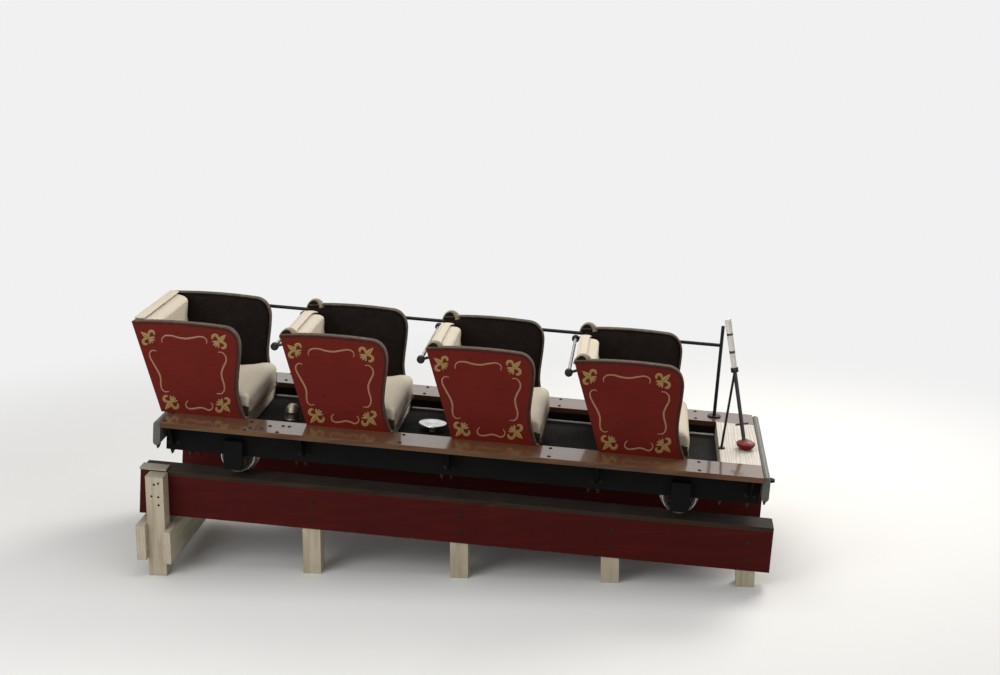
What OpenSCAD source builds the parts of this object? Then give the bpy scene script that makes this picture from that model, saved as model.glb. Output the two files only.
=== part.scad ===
// Old fairground roller coaster car with four bench seats for two, shown on a sloping timber stand.
// Millimetres. X runs forward along the car, Y to its left, Z up from the floor.
// The origin is on the floor, in the middle of the length and of the width.
// The car and its track top are drawn level, with X = 0 at the rear end and Z = 0 on the side planks,
// and on_slope() tilts and lifts them onto the stand.

/* [Stand] */
// Height of the side planks over the floor at the car's rear end
deck_h = 1050; // [1030:5:1100]
// Fall of the track towards the front, in degrees
slope = 4; // [3.5:0.1:4.4]
// Depth of the long red beams
beam_d = 272; // [240:2:282]
// Width of the long red beams
beam_w = 130; // [100:5:140]
// Distance from the middle of the stand to a beam's outer face
beam_out = 600; // [590:5:640]
// Thickness of the brown cap planks that the wheels stand on
cap_t = 28; // [20:1:40]
// Side of a square post
post_w = 118; // [90:1:130]
// Depth of the rear bent's cross boards
ledger_d = 235; // [180:5:250]

/* [Chassis] */
// Distance from one seat to the next
pitch = 950; // [920:5:980]
// Distance from the rear end to the planks' front ends
plank_l = 3890; // [3860:5:3940]
// Width of a side plank
plank_w = 270; // [230:5:290]
// Thickness of a side plank
plank_t = 34; // [28:1:40]
// Distance from the middle of the car to a plank's inner edge
plank_in = 473; // [460:1:480]
// Depth of the footwells below the planks
well_d = 100; // [80:1:102]
// Thickness of the floor boards
floor_t = 24; // [18:1:24]
// Depth of a sill
sill_d = 196; // [180:1:198]
// Thickness of a sill
sill_t = 60; // [50:1:70]
// Depth of a rounded end beam
buffer_d = 160; // [150:1:190]
// Thickness of a rounded end beam
buffer_t = 46; // [40:1:56]

/* [Running gear] */
// Distance from the side planks' top to the cap planks' top
rail_drop = 370; // [360:1:380]
// Wheel radius on the tread
wheel_r = 110; // [100:1:112]
// Height of the wheel flange over the tread
flange_h = 20; // [12:1:20]
// Distance from the car's end to the nearer axle
axle_inset = 500; // [420:5:560]
// Axle radius
axle_r = 22; // [18:1:25]

/* [Seats] */
// Thickness of a painted side panel
panel_t = 25; // [20:1:27]
// Height of the panel's rear top corner
panel_h = 580; // [560:5:600]
// How far the panel's rear top corner leans behind its foot
panel_lean = 205; // [180:5:215]
// Thickness of the dark lining inside a panel
lining_t = 30; // [22:1:36]
// Thickness of the backrest pad
back_pad_t = 46; // [36:1:56]
// Height of the cushion's front roll over the planks
cushion_h = 150; // [140:1:165]
// How far the cushion's nose reaches in front of the panel's foot line
nose_x = 588; // [570:1:600]

/* [Grips] */
// Radius of the far side handrail
rail_r = 12; // [10:1:14]
// Height of the far side handrail over the planks
rail_h = 512; // [495:1:530]
// Length of the brake lever
lever_l = 884; // [850:2:920]
// Lean of the brake lever towards the seats, in degrees
lever_lean = 13; // [8:1:16]

/* [Hidden] */
$fn = 48;
plank_out = plank_in + plank_w;
panel_in = plank_in;
panel_out = panel_in + panel_t;
lining_in = panel_in - lining_t;
sill_in = 500;
sill_out = sill_in + sill_t;
sill_bottom = -plank_t - sill_d;
floor_bottom = -well_d - floor_t;
cap_top = -rail_drop;
cap_in = 400;
cap_out = beam_out;
cap_overhang = 110;
beam_top = cap_top - cap_t;
beam_bottom = beam_top - beam_d;
// The rear posts stand outside the beams, up to just under the cap planks' top
rear_post_top = cap_top - 8;
// Gap between a wheel and the cap plank under it
tread_gap = 0.5;
axle_z = cap_top + tread_gap + wheel_r;
axle_xs = [axle_inset, plank_l - axle_inset];
// Rear feet of the four seats, counted from the rear
seat_xs = [-10, pitch, 2 * pitch, 3 * pitch];
// Rear top corner of each seat's panel: the rear seat's is a little longer and more pointed
corner_x = [-panel_lean - 7, -panel_lean, -panel_lean, -panel_lean];
corner_z = [panel_h + 5, panel_h, panel_h, panel_h];
// Cross members under the floor, kept clear of the axles
transom_xs = [66, pitch - 30, 2 * pitch - 30, 3 * pitch - 30, plank_l - 90];
transom_w = 60;
// Bents of the stand: distance from the car's rear end, and where the posts' outer faces are
bent_xs = [11, 1030, 2000, 2980, 3850];

function slope_x(x, z) = x * cos(slope) + z * sin(slope);
rear_reach = slope_x(seat_xs[0] + corner_x[0], corner_z[0]);
front_reach = slope_x(plank_l + cap_overhang, cap_top);
shift_x = -(rear_reach + front_reach) / 2;

function bezier(p, n) = [for (i = [0:n])
    let (t = i / n, u = 1 - t)
    u * u * u * p[0] + 3 * u * u * t * p[1] + 3 * u * t * t * p[2] + t * t * t * p[3]];

// Tilts and lifts what is drawn level onto the stand
module on_slope() {
    translate([shift_x, 0, deck_h]) rotate([0, slope, 0]) children();
}

module both_sides() {
    children();
    mirror([0, 1, 0]) children();
}

// A profile of X and Z carried across the car from y0 to y1
module across(y0, y1) {
    translate([0, y1, 0]) rotate([90, 0, 0]) linear_extrude(y1 - y0) children();
}

module at_seat(i) {
    translate([seat_xs[i], 0, 0]) children();
}

// Stand

module stand_beams() {
    color("darkred") on_slope() both_sides()
        translate([-cap_overhang, beam_out - beam_w, beam_bottom])
            cube([plank_l + 2 * cap_overhang, beam_w, beam_d]);
}

module stand_caps() {
    color("saddlebrown") on_slope() both_sides()
        translate([-cap_overhang, cap_in, beam_top])
            cube([plank_l + 2 * cap_overhang, cap_out - cap_in, cap_t]);
}

// A post stands plumb on the floor and its top is cut along the slope
module post(x, y_out, top) {
    intersection() {
        translate([shift_x + slope_x(x, top) - post_w / 2, y_out - post_w, 0])
            cube([post_w, post_w, deck_h]);
        on_slope() translate([x - 500, 0, top - 1500]) cube([1000, 1000, 1500]);
    }
}

module stand_posts() {
    color("antiquewhite") both_sides() {
        post(bent_xs[0], beam_out + post_w, rear_post_top);
        for (i = [1:len(bent_xs) - 1]) post(bent_xs[i], beam_out - 6, beam_bottom);
    }
}

// Cross boards behind and before the rear bent: [side, thickness, height of the lower edge, trim of the depth]
cross_boards = [[-1, 62, 123, 0], [1, 45, 97, -16]];
board_gap = 0.2;
board_reach = 48;

module stand_ledgers() {
    x = shift_x + slope_x(bent_xs[0], rear_post_top);
    half = beam_out + post_w + board_reach;
    color("antiquewhite") for (b = cross_boards)
        translate([x + b[0] * ((post_w + b[1]) / 2 + board_gap) - b[1] / 2, -half, b[2]])
            cube([b[1], 2 * half, ledger_d + b[3]]);
}

// Chassis

module side_planks() {
    color("peru") on_slope() both_sides()
        translate([buffer_t, plank_in, -plank_t]) cube([plank_l - buffer_t, plank_w, plank_t]);
}

module sills() {
    color("dimgray") on_slope() both_sides()
        translate([buffer_t, sill_in, sill_bottom]) cube([plank_l - buffer_t, sill_t, sill_d]);
}

module cross_members() {
    color("dimgray") on_slope() for (x = transom_xs)
        translate([x, -sill_in, sill_bottom])
            cube([transom_w, 2 * sill_in, floor_bottom - sill_bottom]);
}

// Steel gussets that carry the planks outside the sills
module plank_brackets() {
    gusset = [[0, 0], [plank_out - sill_out - 30, 0], [plank_out - sill_out - 30, -22],
        [22, -sill_d + 40], [0, -sill_d + 40]];
    color("dimgray") on_slope() both_sides() for (x = transom_xs)
        translate([x + transom_w / 2 - 6, sill_out, -plank_t])
            rotate([90, 0, 90]) linear_extrude(12) polygon(gusset);
}

// The footwells are open trays between the seat bases and in front of the last seat
board_t = 18;
nose_overhang = 36;
base_front = nose_x - nose_overhang;
deck_x = plank_l - 260;
function well_x0(i) = seat_xs[i] + base_front;
function well_x1(i) = i < 3 ? seat_xs[i + 1] + back_gap : deck_x;

module well_floor() {
    color("dimgray") on_slope() for (i = [0:3])
        translate([well_x0(i), -panel_in, floor_bottom])
            cube([well_x1(i) - well_x0(i), 2 * panel_in, floor_t]);
}

module well_walls() {
    color("dimgray") on_slope() both_sides() for (i = [0:3])
        translate([well_x0(i), plank_in, floor_bottom])
            cube([well_x1(i) - well_x0(i), 24, -plank_t - floor_bottom]);
}

module buffer_beam() {
    r = buffer_t / 2;
    color("lightgray") across(-plank_out + 20, plank_out - 20)
        hull_outline([[r, -r], [r, -buffer_d + r]], r);
}

// Two circles joined by straight sides
module hull_outline(centres, r) {
    for (c = centres) translate(c) circle(r);
    translate([centres[1][0] - r, centres[1][1]])
        square([2 * r, centres[0][1] - centres[1][1]]);
}

module rear_buffer() {
    on_slope() buffer_beam();
}

module front_buffer() {
    on_slope() translate([plank_l, 0, 0]) buffer_beam();
}

// Boards at plank level, with a riser down to the last footwell's floor
module front_deck() {
    color("wheat") on_slope() translate([deck_x, -plank_in, 0]) {
        translate([0, 0, -plank_t]) cube([plank_l - deck_x, 2 * plank_in, plank_t]);
        translate([0, 0, floor_bottom]) cube([board_t, 2 * plank_in, -floor_bottom]);
    }
}

drawbar_t = 16;
drawbar_w = 60;
eye_r = 36;
eye_bore_r = 13;
eye_reach = 104;

module drawbar() {
    difference() {
        union() {
            translate([-eye_reach, -drawbar_w / 2, 0]) cube([eye_reach + 320, drawbar_w, drawbar_t]);
            translate([-eye_reach, 0, 0]) cylinder(h = drawbar_t, r = eye_r);
        }
        translate([-eye_reach, 0, -1]) cylinder(h = drawbar_t + 2, r = eye_bore_r);
    }
}

module drawbars() {
    color("gray") on_slope() {
        translate([0, 0, sill_bottom - drawbar_t]) drawbar();
        translate([plank_l, 0, sill_bottom - drawbar_t]) mirror([1, 0, 0]) drawbar();
    }
}

box_w = 120;
box_t = 62;
box_top = -120;
box_bottom = axle_z - 52;
bearing_gap = 0.05;

module axle_boxes() {
    color("dimgray") on_slope() both_sides() for (x = axle_xs)
        difference() {
            translate([x - box_w / 2, sill_out, box_bottom]) cube([box_w, box_t, box_top - box_bottom]);
            translate([x, sill_out - 1, axle_z]) rotate([-90, 0, 0])
                cylinder(h = box_t - 11, r = axle_r + bearing_gap);
        }
}

// Running gear

tread_in = cap_in - 7;
tread_out = 475;
flange_t = 18;
rim_t = 20;
hub_r = 46;
web_t = 16;

// Half profile of a flanged wheel, radius against distance from the middle of the car
wheel_profile = [[axle_r, tread_in - flange_t - 6], [hub_r, tread_in - flange_t - 6],
    [hub_r, tread_in + 14], [wheel_r - rim_t, tread_in + 14], [wheel_r - rim_t, tread_in - flange_t],
    [wheel_r + flange_h, tread_in - flange_t], [wheel_r + flange_h, tread_in - 6], [wheel_r + 4, tread_in],
    [wheel_r, tread_in + 4], [wheel_r, tread_out], [wheel_r - rim_t, tread_out],
    [wheel_r - rim_t, tread_in + 14 + web_t], [hub_r, tread_in + 14 + web_t], [hub_r, tread_out + 10],
    [axle_r, tread_out + 10]];

module wheel_pair(x) {
    color("gray") on_slope() translate([x, 0, axle_z]) both_sides()
        difference() {
            rotate([-90, 0, 0]) rotate_extrude() polygon(wheel_profile);
            for (a = [0:60:300]) rotate([0, a, 0]) translate([0, 0, (hub_r + wheel_r - rim_t) / 2])
                rotate([-90, 0, 0]) cylinder(h = tread_out, r = 13);
        }
}

module axle(x) {
    half = sill_out + box_t - 14;
    color("silver") on_slope() translate([x, -half, axle_z]) rotate([-90, 0, 0])
        cylinder(h = 2 * half, r = axle_r);
}

module rear_axle() { axle(axle_xs[0]); }
module front_axle() { axle(axle_xs[1]); }
module rear_wheels() { wheel_pair(axle_xs[0]); }
module front_wheels() { wheel_pair(axle_xs[1]); }

// Seats

// Front edge of a side: round shoulder, bulge, waist and a flared foot, from the top down
front_edge = concat(
    bezier([[393, 597], [455, 592], [494, 545], [497, 470]], 6),
    bezier([[497, 470], [499, 370], [486, 300], [487, 215]], 4),
    bezier([[487, 215], [490, 130], [520, 60], [547, 0]], 4));

module panel_outline(i) {
    polygon(concat([[0, 0], [corner_x[i], corner_z[i]]],
        bezier([[corner_x[i], corner_z[i]], [0, 606], [200, 608], [393, 597]], 5), front_edge));
}

module panels(i) {
    color("darkred") on_slope() at_seat(i) both_sides()
        across(panel_in, panel_out) panel_outline(i);
}

// The lining follows the panel, a little inside its edge, and on the three front seats it stands
// up behind the shoulder as a padded ear
ear_x0 = -2;
ear_l = 118;

module lining_outline(i) {
    intersection() {
        translate([-4, -6]) panel_outline(i);
        translate([4, 0]) panel_outline(i);
    }
    if (i > 0) ear_outline(i);
}

module ear_outline(i) {
    x = corner_x[i] + ear_x0;
    z = corner_z[i] - 20;
    polygon(concat([[x, z]], bezier([[x, z], [x + 10, z + 66], [x + ear_l - 20, z + 90], [x + ear_l, z + 10]], 8)));
}

module linings(i) {
    color("saddlebrown") on_slope() at_seat(i) both_sides()
        across(lining_in, panel_in) lining_outline(i);
}

// The back stands a little in front of the panels' rear edges
back_gap = 4;
// Lean of the back, from the panel's rear edge
function lean(i) = atan2(-corner_x[i], corner_z[i]);
function back_l(i) = norm([corner_x[i], corner_z[i]]);
crown_drop = 38;

// A board or pad seen from the front: straight on top, or crowned between the ears
function straight_top(w, h) = [[-w, 0], [w, 0], [w, h], [-w, h]];
function crowned_top(w, h) = concat([[-w, 0], [w, 0]],
    bezier([[w, h - crown_drop], [w - 70, h - 17], [w - 150, h], [w - 270, h]], 5),
    bezier([[270 - w, h], [150 - w, h], [70 - w, h - 17], [-w, h - crown_drop]], 5));

module front_outline(i, w, h) {
    polygon(i == 0 ? straight_top(w, h) : crowned_top(w, h));
}

// Lays an outline of width and height on the leaning back, from t0 to t1 in front of its rear face
module on_back(i, t0, t1) {
    rotate([0, -lean(i), 0]) translate([t0, 0, 0]) rotate([90, 0, 90]) linear_extrude(t1 - t0) children();
}

// The leaning back board, with an upright board below it down to the floor, or behind the rear
// seat a rail on the end beam
module back(i) {
    color("saddlebrown") on_slope() at_seat(i) {
        intersection() {
            on_back(i, back_gap, back_gap + board_t) front_outline(i, lining_in, back_l(i) - (i == 0 ? 0 : 10));
            translate([-600, -600, 0]) cube([1200, 1200, 900]);
        }
        if (i > 0)
            translate([back_gap, -panel_in, floor_bottom]) cube([board_t, 2 * panel_in, -floor_bottom]);
        else
            translate([back_gap + board_t, -lining_in, 0]) cube([30, 2 * lining_in, seat_board_z]);
    }
}

// The pad lies on the leaning board, and its upper part is a wedge with a plumb front face
pad_foot = 80;
pad_face_x = -76;
pad_top_z = [597, 571, 571, 571];
function pad_front_x(i, z) = (back_gap + board_t + back_pad_t) / cos(lean(i)) - z * tan(lean(i));
function pad_knee_z(i) = ((back_gap + board_t + back_pad_t) / cos(lean(i)) - pad_face_x) / tan(lean(i));

module back_pad(i) {
    color("tan") on_slope() at_seat(i) intersection() {
        on_back(i, back_gap + board_t, back_gap + board_t + 250)
            translate([-600, pad_foot]) square([1200, 700]);
        across(-600, 600) polygon([[-500, 0], [pad_front_x(i, 0), 0], [pad_face_x, pad_knee_z(i)],
            [pad_face_x - 4, 700], [-500, 700]]);
        translate([-500, 0, 0]) rotate([90, 0, 90]) linear_extrude(1000)
            front_outline(i, lining_in - 3, pad_top_z[i]);
    }
}

seat_board_z = 44;

// Seat board and valance, bent as one profile, wider below the planks
module base(i) {
    top = seat_board_z + board_t;
    color("tan") on_slope() at_seat(i) {
        across(-lining_in, lining_in)
            polygon([[36, seat_board_z], [36, top], [base_front, top], [base_front, 0],
                [base_front - board_t, 0], [base_front - board_t, seat_board_z]]);
        translate([base_front - board_t, -panel_in, floor_bottom])
            cube([board_t, 2 * panel_in, -floor_bottom]);
    }
}

module cushion(i) {
    z0 = seat_board_z + board_t;
    rear = 84;
    color("tan") on_slope() at_seat(i) across(-lining_in + 3, lining_in - 3)
        polygon(concat([[rear, z0], [rear - 18, z0 + 50]],
            bezier([[rear - 18, z0 + 50], [240, z0 + 56], [380, z0 + 70], [470, cushion_h - 4]], 4),
            bezier([[470, cushion_h - 4], [540, cushion_h + 12], [nose_x, cushion_h - 10], [nose_x, 100]], 6),
            [[nose_x - 14, 60], [base_front + 14, 4], [base_front, 4], [base_front, z0]]));
}

module seat1_panels() { panels(0); }
module seat2_panels() { panels(1); }
module seat3_panels() { panels(2); }
module seat4_panels() { panels(3); }
module seat1_linings() { linings(0); }
module seat2_linings() { linings(1); }
module seat3_linings() { linings(2); }
module seat4_linings() { linings(3); }
module seat1_back() { back(0); }
module seat2_back() { back(1); }
module seat3_back() { back(2); }
module seat4_back() { back(3); }
module seat1_back_pad() { back_pad(0); }
module seat2_back_pad() { back_pad(1); }
module seat3_back_pad() { back_pad(2); }
module seat4_back_pad() { back_pad(3); }
module seat1_base() { base(0); }
module seat2_base() { base(1); }
module seat3_base() { base(2); }
module seat4_base() { base(3); }
module seat1_cushion() { cushion(0); }
module seat2_cushion() { cushion(1); }
module seat3_cushion() { cushion(2); }
module seat4_cushion() { cushion(3); }

// Grips

// A bar's place along the leaning back and behind it
bar_s = 549;
bar_gap = 54;
bar_r = 11;
knob_r = 26;
knob_l = 36;
arm_r = 9;

// Turned cap on the end of a grab bar, along +Y from its inner face
module knob() {
    rotate([-90, 0, 0]) rotate_extrude() polygon([[0, 0], [knob_r - 8, 0], [knob_r, 8],
        [knob_r, knob_l - 8], [knob_r - 8, knob_l], [0, knob_l]]);
}

// Bars across the backs of the three front seats, each on two arms from the panels' rear edges
module grab_bars() {
    color("black") on_slope() for (i = [1:3]) at_seat(i)
        rotate([0, -lean(i), 0]) translate([-bar_gap, 0, bar_s]) {
            translate([0, 4 - panel_out, 0]) rotate([-90, 0, 0]) cylinder(h = 2 * panel_out - 8, r = bar_r);
            both_sides() {
                translate([0, panel_out - knob_l, 0]) knob();
                translate([0, panel_out - knob_l / 2, 0]) rotate([0, 90, 0]) cylinder(h = bar_gap, r = arm_r);
            }
        }
}

rail_y = 608;
rail_x0 = 430;
post_a_x = 3620;
post_a_h = 650;

module handrail() {
    color("black") on_slope() {
        translate([rail_x0, rail_y, rail_h]) rotate([0, 90, 0]) cylinder(h = post_a_x - rail_x0, r = rail_r);
        translate([post_a_x, rail_y, 0]) cylinder(h = post_a_h, r = rail_r);
        translate([post_a_x, rail_y, 0]) cylinder(h = 10, r = 46);
        for (x = seat_xs) translate([x + 440, panel_out, rail_h]) rotate([-90, 0, 0])
            cylinder(h = rail_y - panel_out, r = 8);
    }
}

lever_x = 3802;
lever_y = -130;
pedestal_r = 60;
pedestal_h = 66;
// Where the lever's foot and its grip begin, along the lever
socket_l = 58;
grip_l = 558;
shaft_r = 13;

// Draws along the leaning lever, from the pedestal's middle up
module on_lever() {
    on_slope() translate([lever_x, lever_y, 0]) rotate([0, -lever_lean, 0]) children();
}

module brake_lever() {
    on_lever() {
        color("black") translate([0, 0, socket_l]) cylinder(h = grip_l - socket_l, r = shaft_r);
        color("black") translate([-43, 0, 172]) rotate([0, 90, 0]) cylinder(h = 86, r = 7);
        color("white") translate([0, 0, grip_l]) cylinder(h = lever_l - grip_l, r1 = 18, r2 = 22);
    }
}

// Half profile of the lever's domed foot
dome_rim = [for (a = [0:6:90]) [pedestal_r * cos(a), pedestal_h * sin(a)]];

module lever_pedestal() {
    color("firebrick") difference() {
        on_slope() translate([lever_x, lever_y, 0]) rotate_extrude() polygon(concat([[0, 0]], dome_rim));
        on_lever() translate([0, 0, socket_l]) cylinder(h = pedestal_r, r = shaft_r + 1);
    }
}

// The rod that holds the lever: it stands on the front deck beside the lever, under a lug on the collar
rod_foot_x = 3644;
rod_off = 36;
rod_r = 8;
collar_l = 542;
rod_top = [lever_x - collar_l * sin(lever_lean), collar_l * cos(lever_lean)];
rod_l = norm([rod_top[0] - rod_foot_x, rod_top[1]]);

module lever_brace() {
    color("black") {
        on_lever() translate([0, 0, collar_l]) {
            difference() {
                translate([0, 0, -14]) cylinder(h = 28, r = 25);
                translate([0, 0, -15]) cylinder(h = 30, r = shaft_r + 0.5);
            }
            translate([0, -22, 0]) rotate([90, 0, 0]) cylinder(h = 26, r = 11);
        }
        on_slope() translate([rod_foot_x, lever_y - rod_off, 0]) {
            cylinder(h = 8, r = 24);
            rotate([0, atan2(rod_top[0] - rod_foot_x, rod_top[1]), 0])
                translate([0, 0, 4]) cylinder(h = rod_l - 4, r = rod_r);
        }
    }
}

disc_x = 1720;
disc_y = -25;
dome_x = 770;
dome_y = -60;

module well_disc() {
    color("silver") on_slope() translate([disc_x, disc_y, -well_d]) {
        cylinder(h = 40, r = 40);
        translate([0, 0, 40]) cylinder(h = 12, r = 96);
    }
}

// Half profile of the dome: an upright side under a round top
cup_rim = concat([[48, 0], [48, 60]], [for (a = [6:6:90]) [48 * cos(a), 60 + 48 * sin(a)]]);

module well_dome() {
    color("goldenrod") on_slope() translate([dome_x, dome_y, -well_d])
        rotate_extrude() polygon(concat([[0, 0]], cup_rim));
}

stand_beams();
stand_caps();
stand_posts();
stand_ledgers();
side_planks();
sills();
cross_members();
plank_brackets();
well_floor();
well_walls();
rear_buffer();
front_buffer();
front_deck();
drawbars();
axle_boxes();
rear_axle();
rear_wheels();
front_axle();
front_wheels();
seat1_panels();
seat1_linings();
seat1_back();
seat1_back_pad();
seat1_base();
seat1_cushion();
seat2_panels();
seat2_linings();
seat2_back();
seat2_back_pad();
seat2_base();
seat2_cushion();
seat3_panels();
seat3_linings();
seat3_back();
seat3_back_pad();
seat3_base();
seat3_cushion();
seat4_panels();
seat4_linings();
seat4_back();
seat4_back_pad();
seat4_base();
seat4_cushion();
grab_bars();
handrail();
brake_lever();
lever_brace();
lever_pedestal();
well_disc();
well_dome();
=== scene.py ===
"""Looks of an old fairground coaster car with four benches, on its sloping timber stand.

Shapes are worked out in car millimetres: X runs forward from the car's rear end, Y to its left, Z up from the
side planks' top. CarAxes.place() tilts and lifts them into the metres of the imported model's frame.
"""

import logging
import math
from dataclasses import dataclass, field, replace
from enum import Enum
from typing import Callable

import bmesh
import bpy
import numpy as np
from mathutils import Euler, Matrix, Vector


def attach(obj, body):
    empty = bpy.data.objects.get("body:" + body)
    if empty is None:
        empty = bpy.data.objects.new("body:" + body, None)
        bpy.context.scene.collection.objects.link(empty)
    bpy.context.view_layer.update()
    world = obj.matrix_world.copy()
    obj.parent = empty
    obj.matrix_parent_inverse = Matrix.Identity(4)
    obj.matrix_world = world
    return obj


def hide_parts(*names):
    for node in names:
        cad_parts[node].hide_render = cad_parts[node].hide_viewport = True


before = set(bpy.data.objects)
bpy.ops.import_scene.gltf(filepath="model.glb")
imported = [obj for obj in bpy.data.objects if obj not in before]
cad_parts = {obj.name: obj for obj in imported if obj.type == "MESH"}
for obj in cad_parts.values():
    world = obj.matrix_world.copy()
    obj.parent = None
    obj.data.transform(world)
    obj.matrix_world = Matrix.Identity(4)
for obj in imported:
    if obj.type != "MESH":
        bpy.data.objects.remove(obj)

LOG = logging.getLogger("coaster_car")
ROOT = "car_and_stand"
Array = np.ndarray
Marks = dict[str, Array]
Colour = tuple[float, float, float]
Point = tuple[float, float, float]
Socket = bpy.types.NodeSocket
Layers = tuple[dict, object, float]
Solid = bpy.types.Object
NOISE_WAVES = 7


# Axes and curves


@dataclass(frozen=True)
class CarAxes:
    """The car's own axes on the slope of its track, with the sizes that set where they lie."""

    deck_h: float = 1050.0
    slope: float = 4.0
    rear: tuple[float, float] = (-222.0, 585.0)
    front: tuple[float, float] = (4000.0, -370.0)

    def tilt(self) -> tuple[float, float]:
        """Cosine and sine of the slope."""
        return math.cos(math.radians(self.slope)), math.sin(math.radians(self.slope))

    def shift(self) -> float:
        """Distance along the floor that puts the row's middle over the origin."""
        c, s = self.tilt()
        return -((self.rear[0] + self.front[0]) * c + (self.rear[1] + self.front[1]) * s) / 2

    def place(self, car: Array) -> Array:
        """Turns car millimetres into metres of the frame.

        Formula: along the floor x cos + z sin + shift, up deck height - x sin + z cos, across unchanged.

        Args:
            car: points, with X, Y and Z last.

        Returns:
            The same points in metres.
        """
        c, s = self.tilt()
        x, y, z = car[..., 0], car[..., 1], car[..., 2]
        return np.stack([x * c + z * s + self.shift(), y, self.deck_h - x * s + z * c], -1) / 1000

    def unplace(self, metres: Array) -> Array:
        """Turns metres of the frame into car millimetres: place() the other way round.

        Args:
            metres: points, with X, Y and Z last.

        Returns:
            The same points in car millimetres.
        """
        c, s = self.tilt()
        x, z = metres[..., 0] * 1000 - self.shift(), metres[..., 2] * 1000 - self.deck_h
        return np.stack([x * c - z * s, metres[..., 1] * 1000, x * s + z * c], -1)


AXES = CarAxes()


def bezier(knots: list[list[float]], n: int) -> Array:
    """Cubic curve: each knot weighted by its Bernstein polynomial of t.

    Args:
        knots: its four control points.
        n: number of steps.

    Returns:
        n + 1 points.
    """
    t = np.linspace(0, 1, n + 1)[:, None]
    p = np.asarray(knots, float)
    return (1 - t) ** 3 * p[0] + 3 * (1 - t) ** 2 * t * p[1] + 3 * (1 - t) * t**2 * p[2] + t**3 * p[3]


def evenly(path: Array, n: int) -> Array:
    """Path resampled: each coordinate is interpolated over the distance gone along it.

    Args:
        path: its points.
        n: number of points wanted.

    Returns:
        n points, spaced evenly along its length.
    """
    gone = np.concatenate([[0], np.cumsum(np.linalg.norm(np.diff(path, axis=0), axis=1))])
    at = np.linspace(0, gone[-1], n)
    return np.stack([np.interp(at, gone, path[:, k]) for k in range(path.shape[1])], 1)


def outward(path: Array) -> Array:
    """Unit normals of an upright path, on the left of its way: each step's direction turned by a right angle.

    Args:
        path: X and Z of its points.

    Returns:
        X and Z of a normal at each point.
    """
    way = np.gradient(path, axis=0)
    way /= np.linalg.norm(way, axis=1, keepdims=True)
    return np.stack([-way[:, 1], way[:, 0]], 1)


def through(points: list[tuple[float, ...]], n: int) -> Array:
    """Smooth line through points: on each span, the cubic whose slope at a point joins its neighbours.

    Args:
        points: what the line passes through.
        n: number of points wanted.

    Returns:
        n points, evenly spaced.
    """
    p = np.asarray(points, float)
    e = np.vstack([2 * p[0] - p[1], p, 2 * p[-1] - p[-2]])
    t = np.linspace(0, len(p) - 1 - 1e-9, 6 * n)
    i = t.astype(int)
    f = (t - i)[:, None]
    a, b, c, d = e[i], e[i + 1], e[i + 2], e[i + 3]
    line = 0.5 * (2 * b + (c - a) * f + (2 * a - 5 * b + 4 * c - d) * f**2 + (3 * b - a - 3 * c + d) * f**3)
    return evenly(line, n)


def smooth_noise(points: Array, wave: float, seed: int) -> Array:
    """Soft random field: a sum of sines of the points along fixed random directions.

    Args:
        points: where it is wanted, X, Y and Z last.
        wave: length of its longest wave, in the points' unit.
        seed: chooses the directions.

    Returns:
        Values of about -1 to 1.
    """
    rng = np.random.default_rng(seed)
    way = rng.normal(size=(NOISE_WAVES, 3))
    pitch = (2 * np.pi / wave) * rng.uniform(0.6, 1.6, (NOISE_WAVES, 1))
    way *= pitch / np.linalg.norm(way, axis=1, keepdims=True)
    return np.sin(points @ way.T + rng.uniform(0, 6.28, NOISE_WAVES)).mean(-1) * 1.6


# Meshes


@dataclass
class Shell:
    """Points in car millimetres, faces of four and three corners, and values for the finish at each point."""

    points: Array
    quads: Array
    tris: Array = field(default_factory=lambda: np.zeros((0, 3), int))
    marks: Marks = field(default_factory=dict)

    def moved(self, x: float = 0.0, y: float = 0.0, z: float = 0.0) -> "Shell":
        """The same shell, moved."""
        return Shell(self.points + np.array([x, y, z]), self.quads, self.tris, self.marks)

    def mirrored(self) -> "Shell":
        """The same shell on the car's other side."""
        return Shell(self.points * [1, -1, 1], self.quads[:, ::-1], self.tris[:, ::-1], self.marks)

    def both(self) -> "Shell":
        """The shell and its mirror image."""
        return Shell.joined([self, self.mirrored()])

    @staticmethod
    def joined(shells: list["Shell"]) -> "Shell":
        """Several shells as one.

        Args:
            shells: shells with the same marks.

        Returns:
            One shell, with the faces renumbered.
        """
        base = np.cumsum([0] + [len(s.points) for s in shells])
        return Shell(
            np.concatenate([s.points for s in shells]),
            np.concatenate([s.quads + b for s, b in zip(shells, base)]),
            np.concatenate([s.tris + b for s, b in zip(shells, base)]),
            {k: np.concatenate([s.marks[k] for s in shells]) for k in shells[0].marks},
        )


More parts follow.
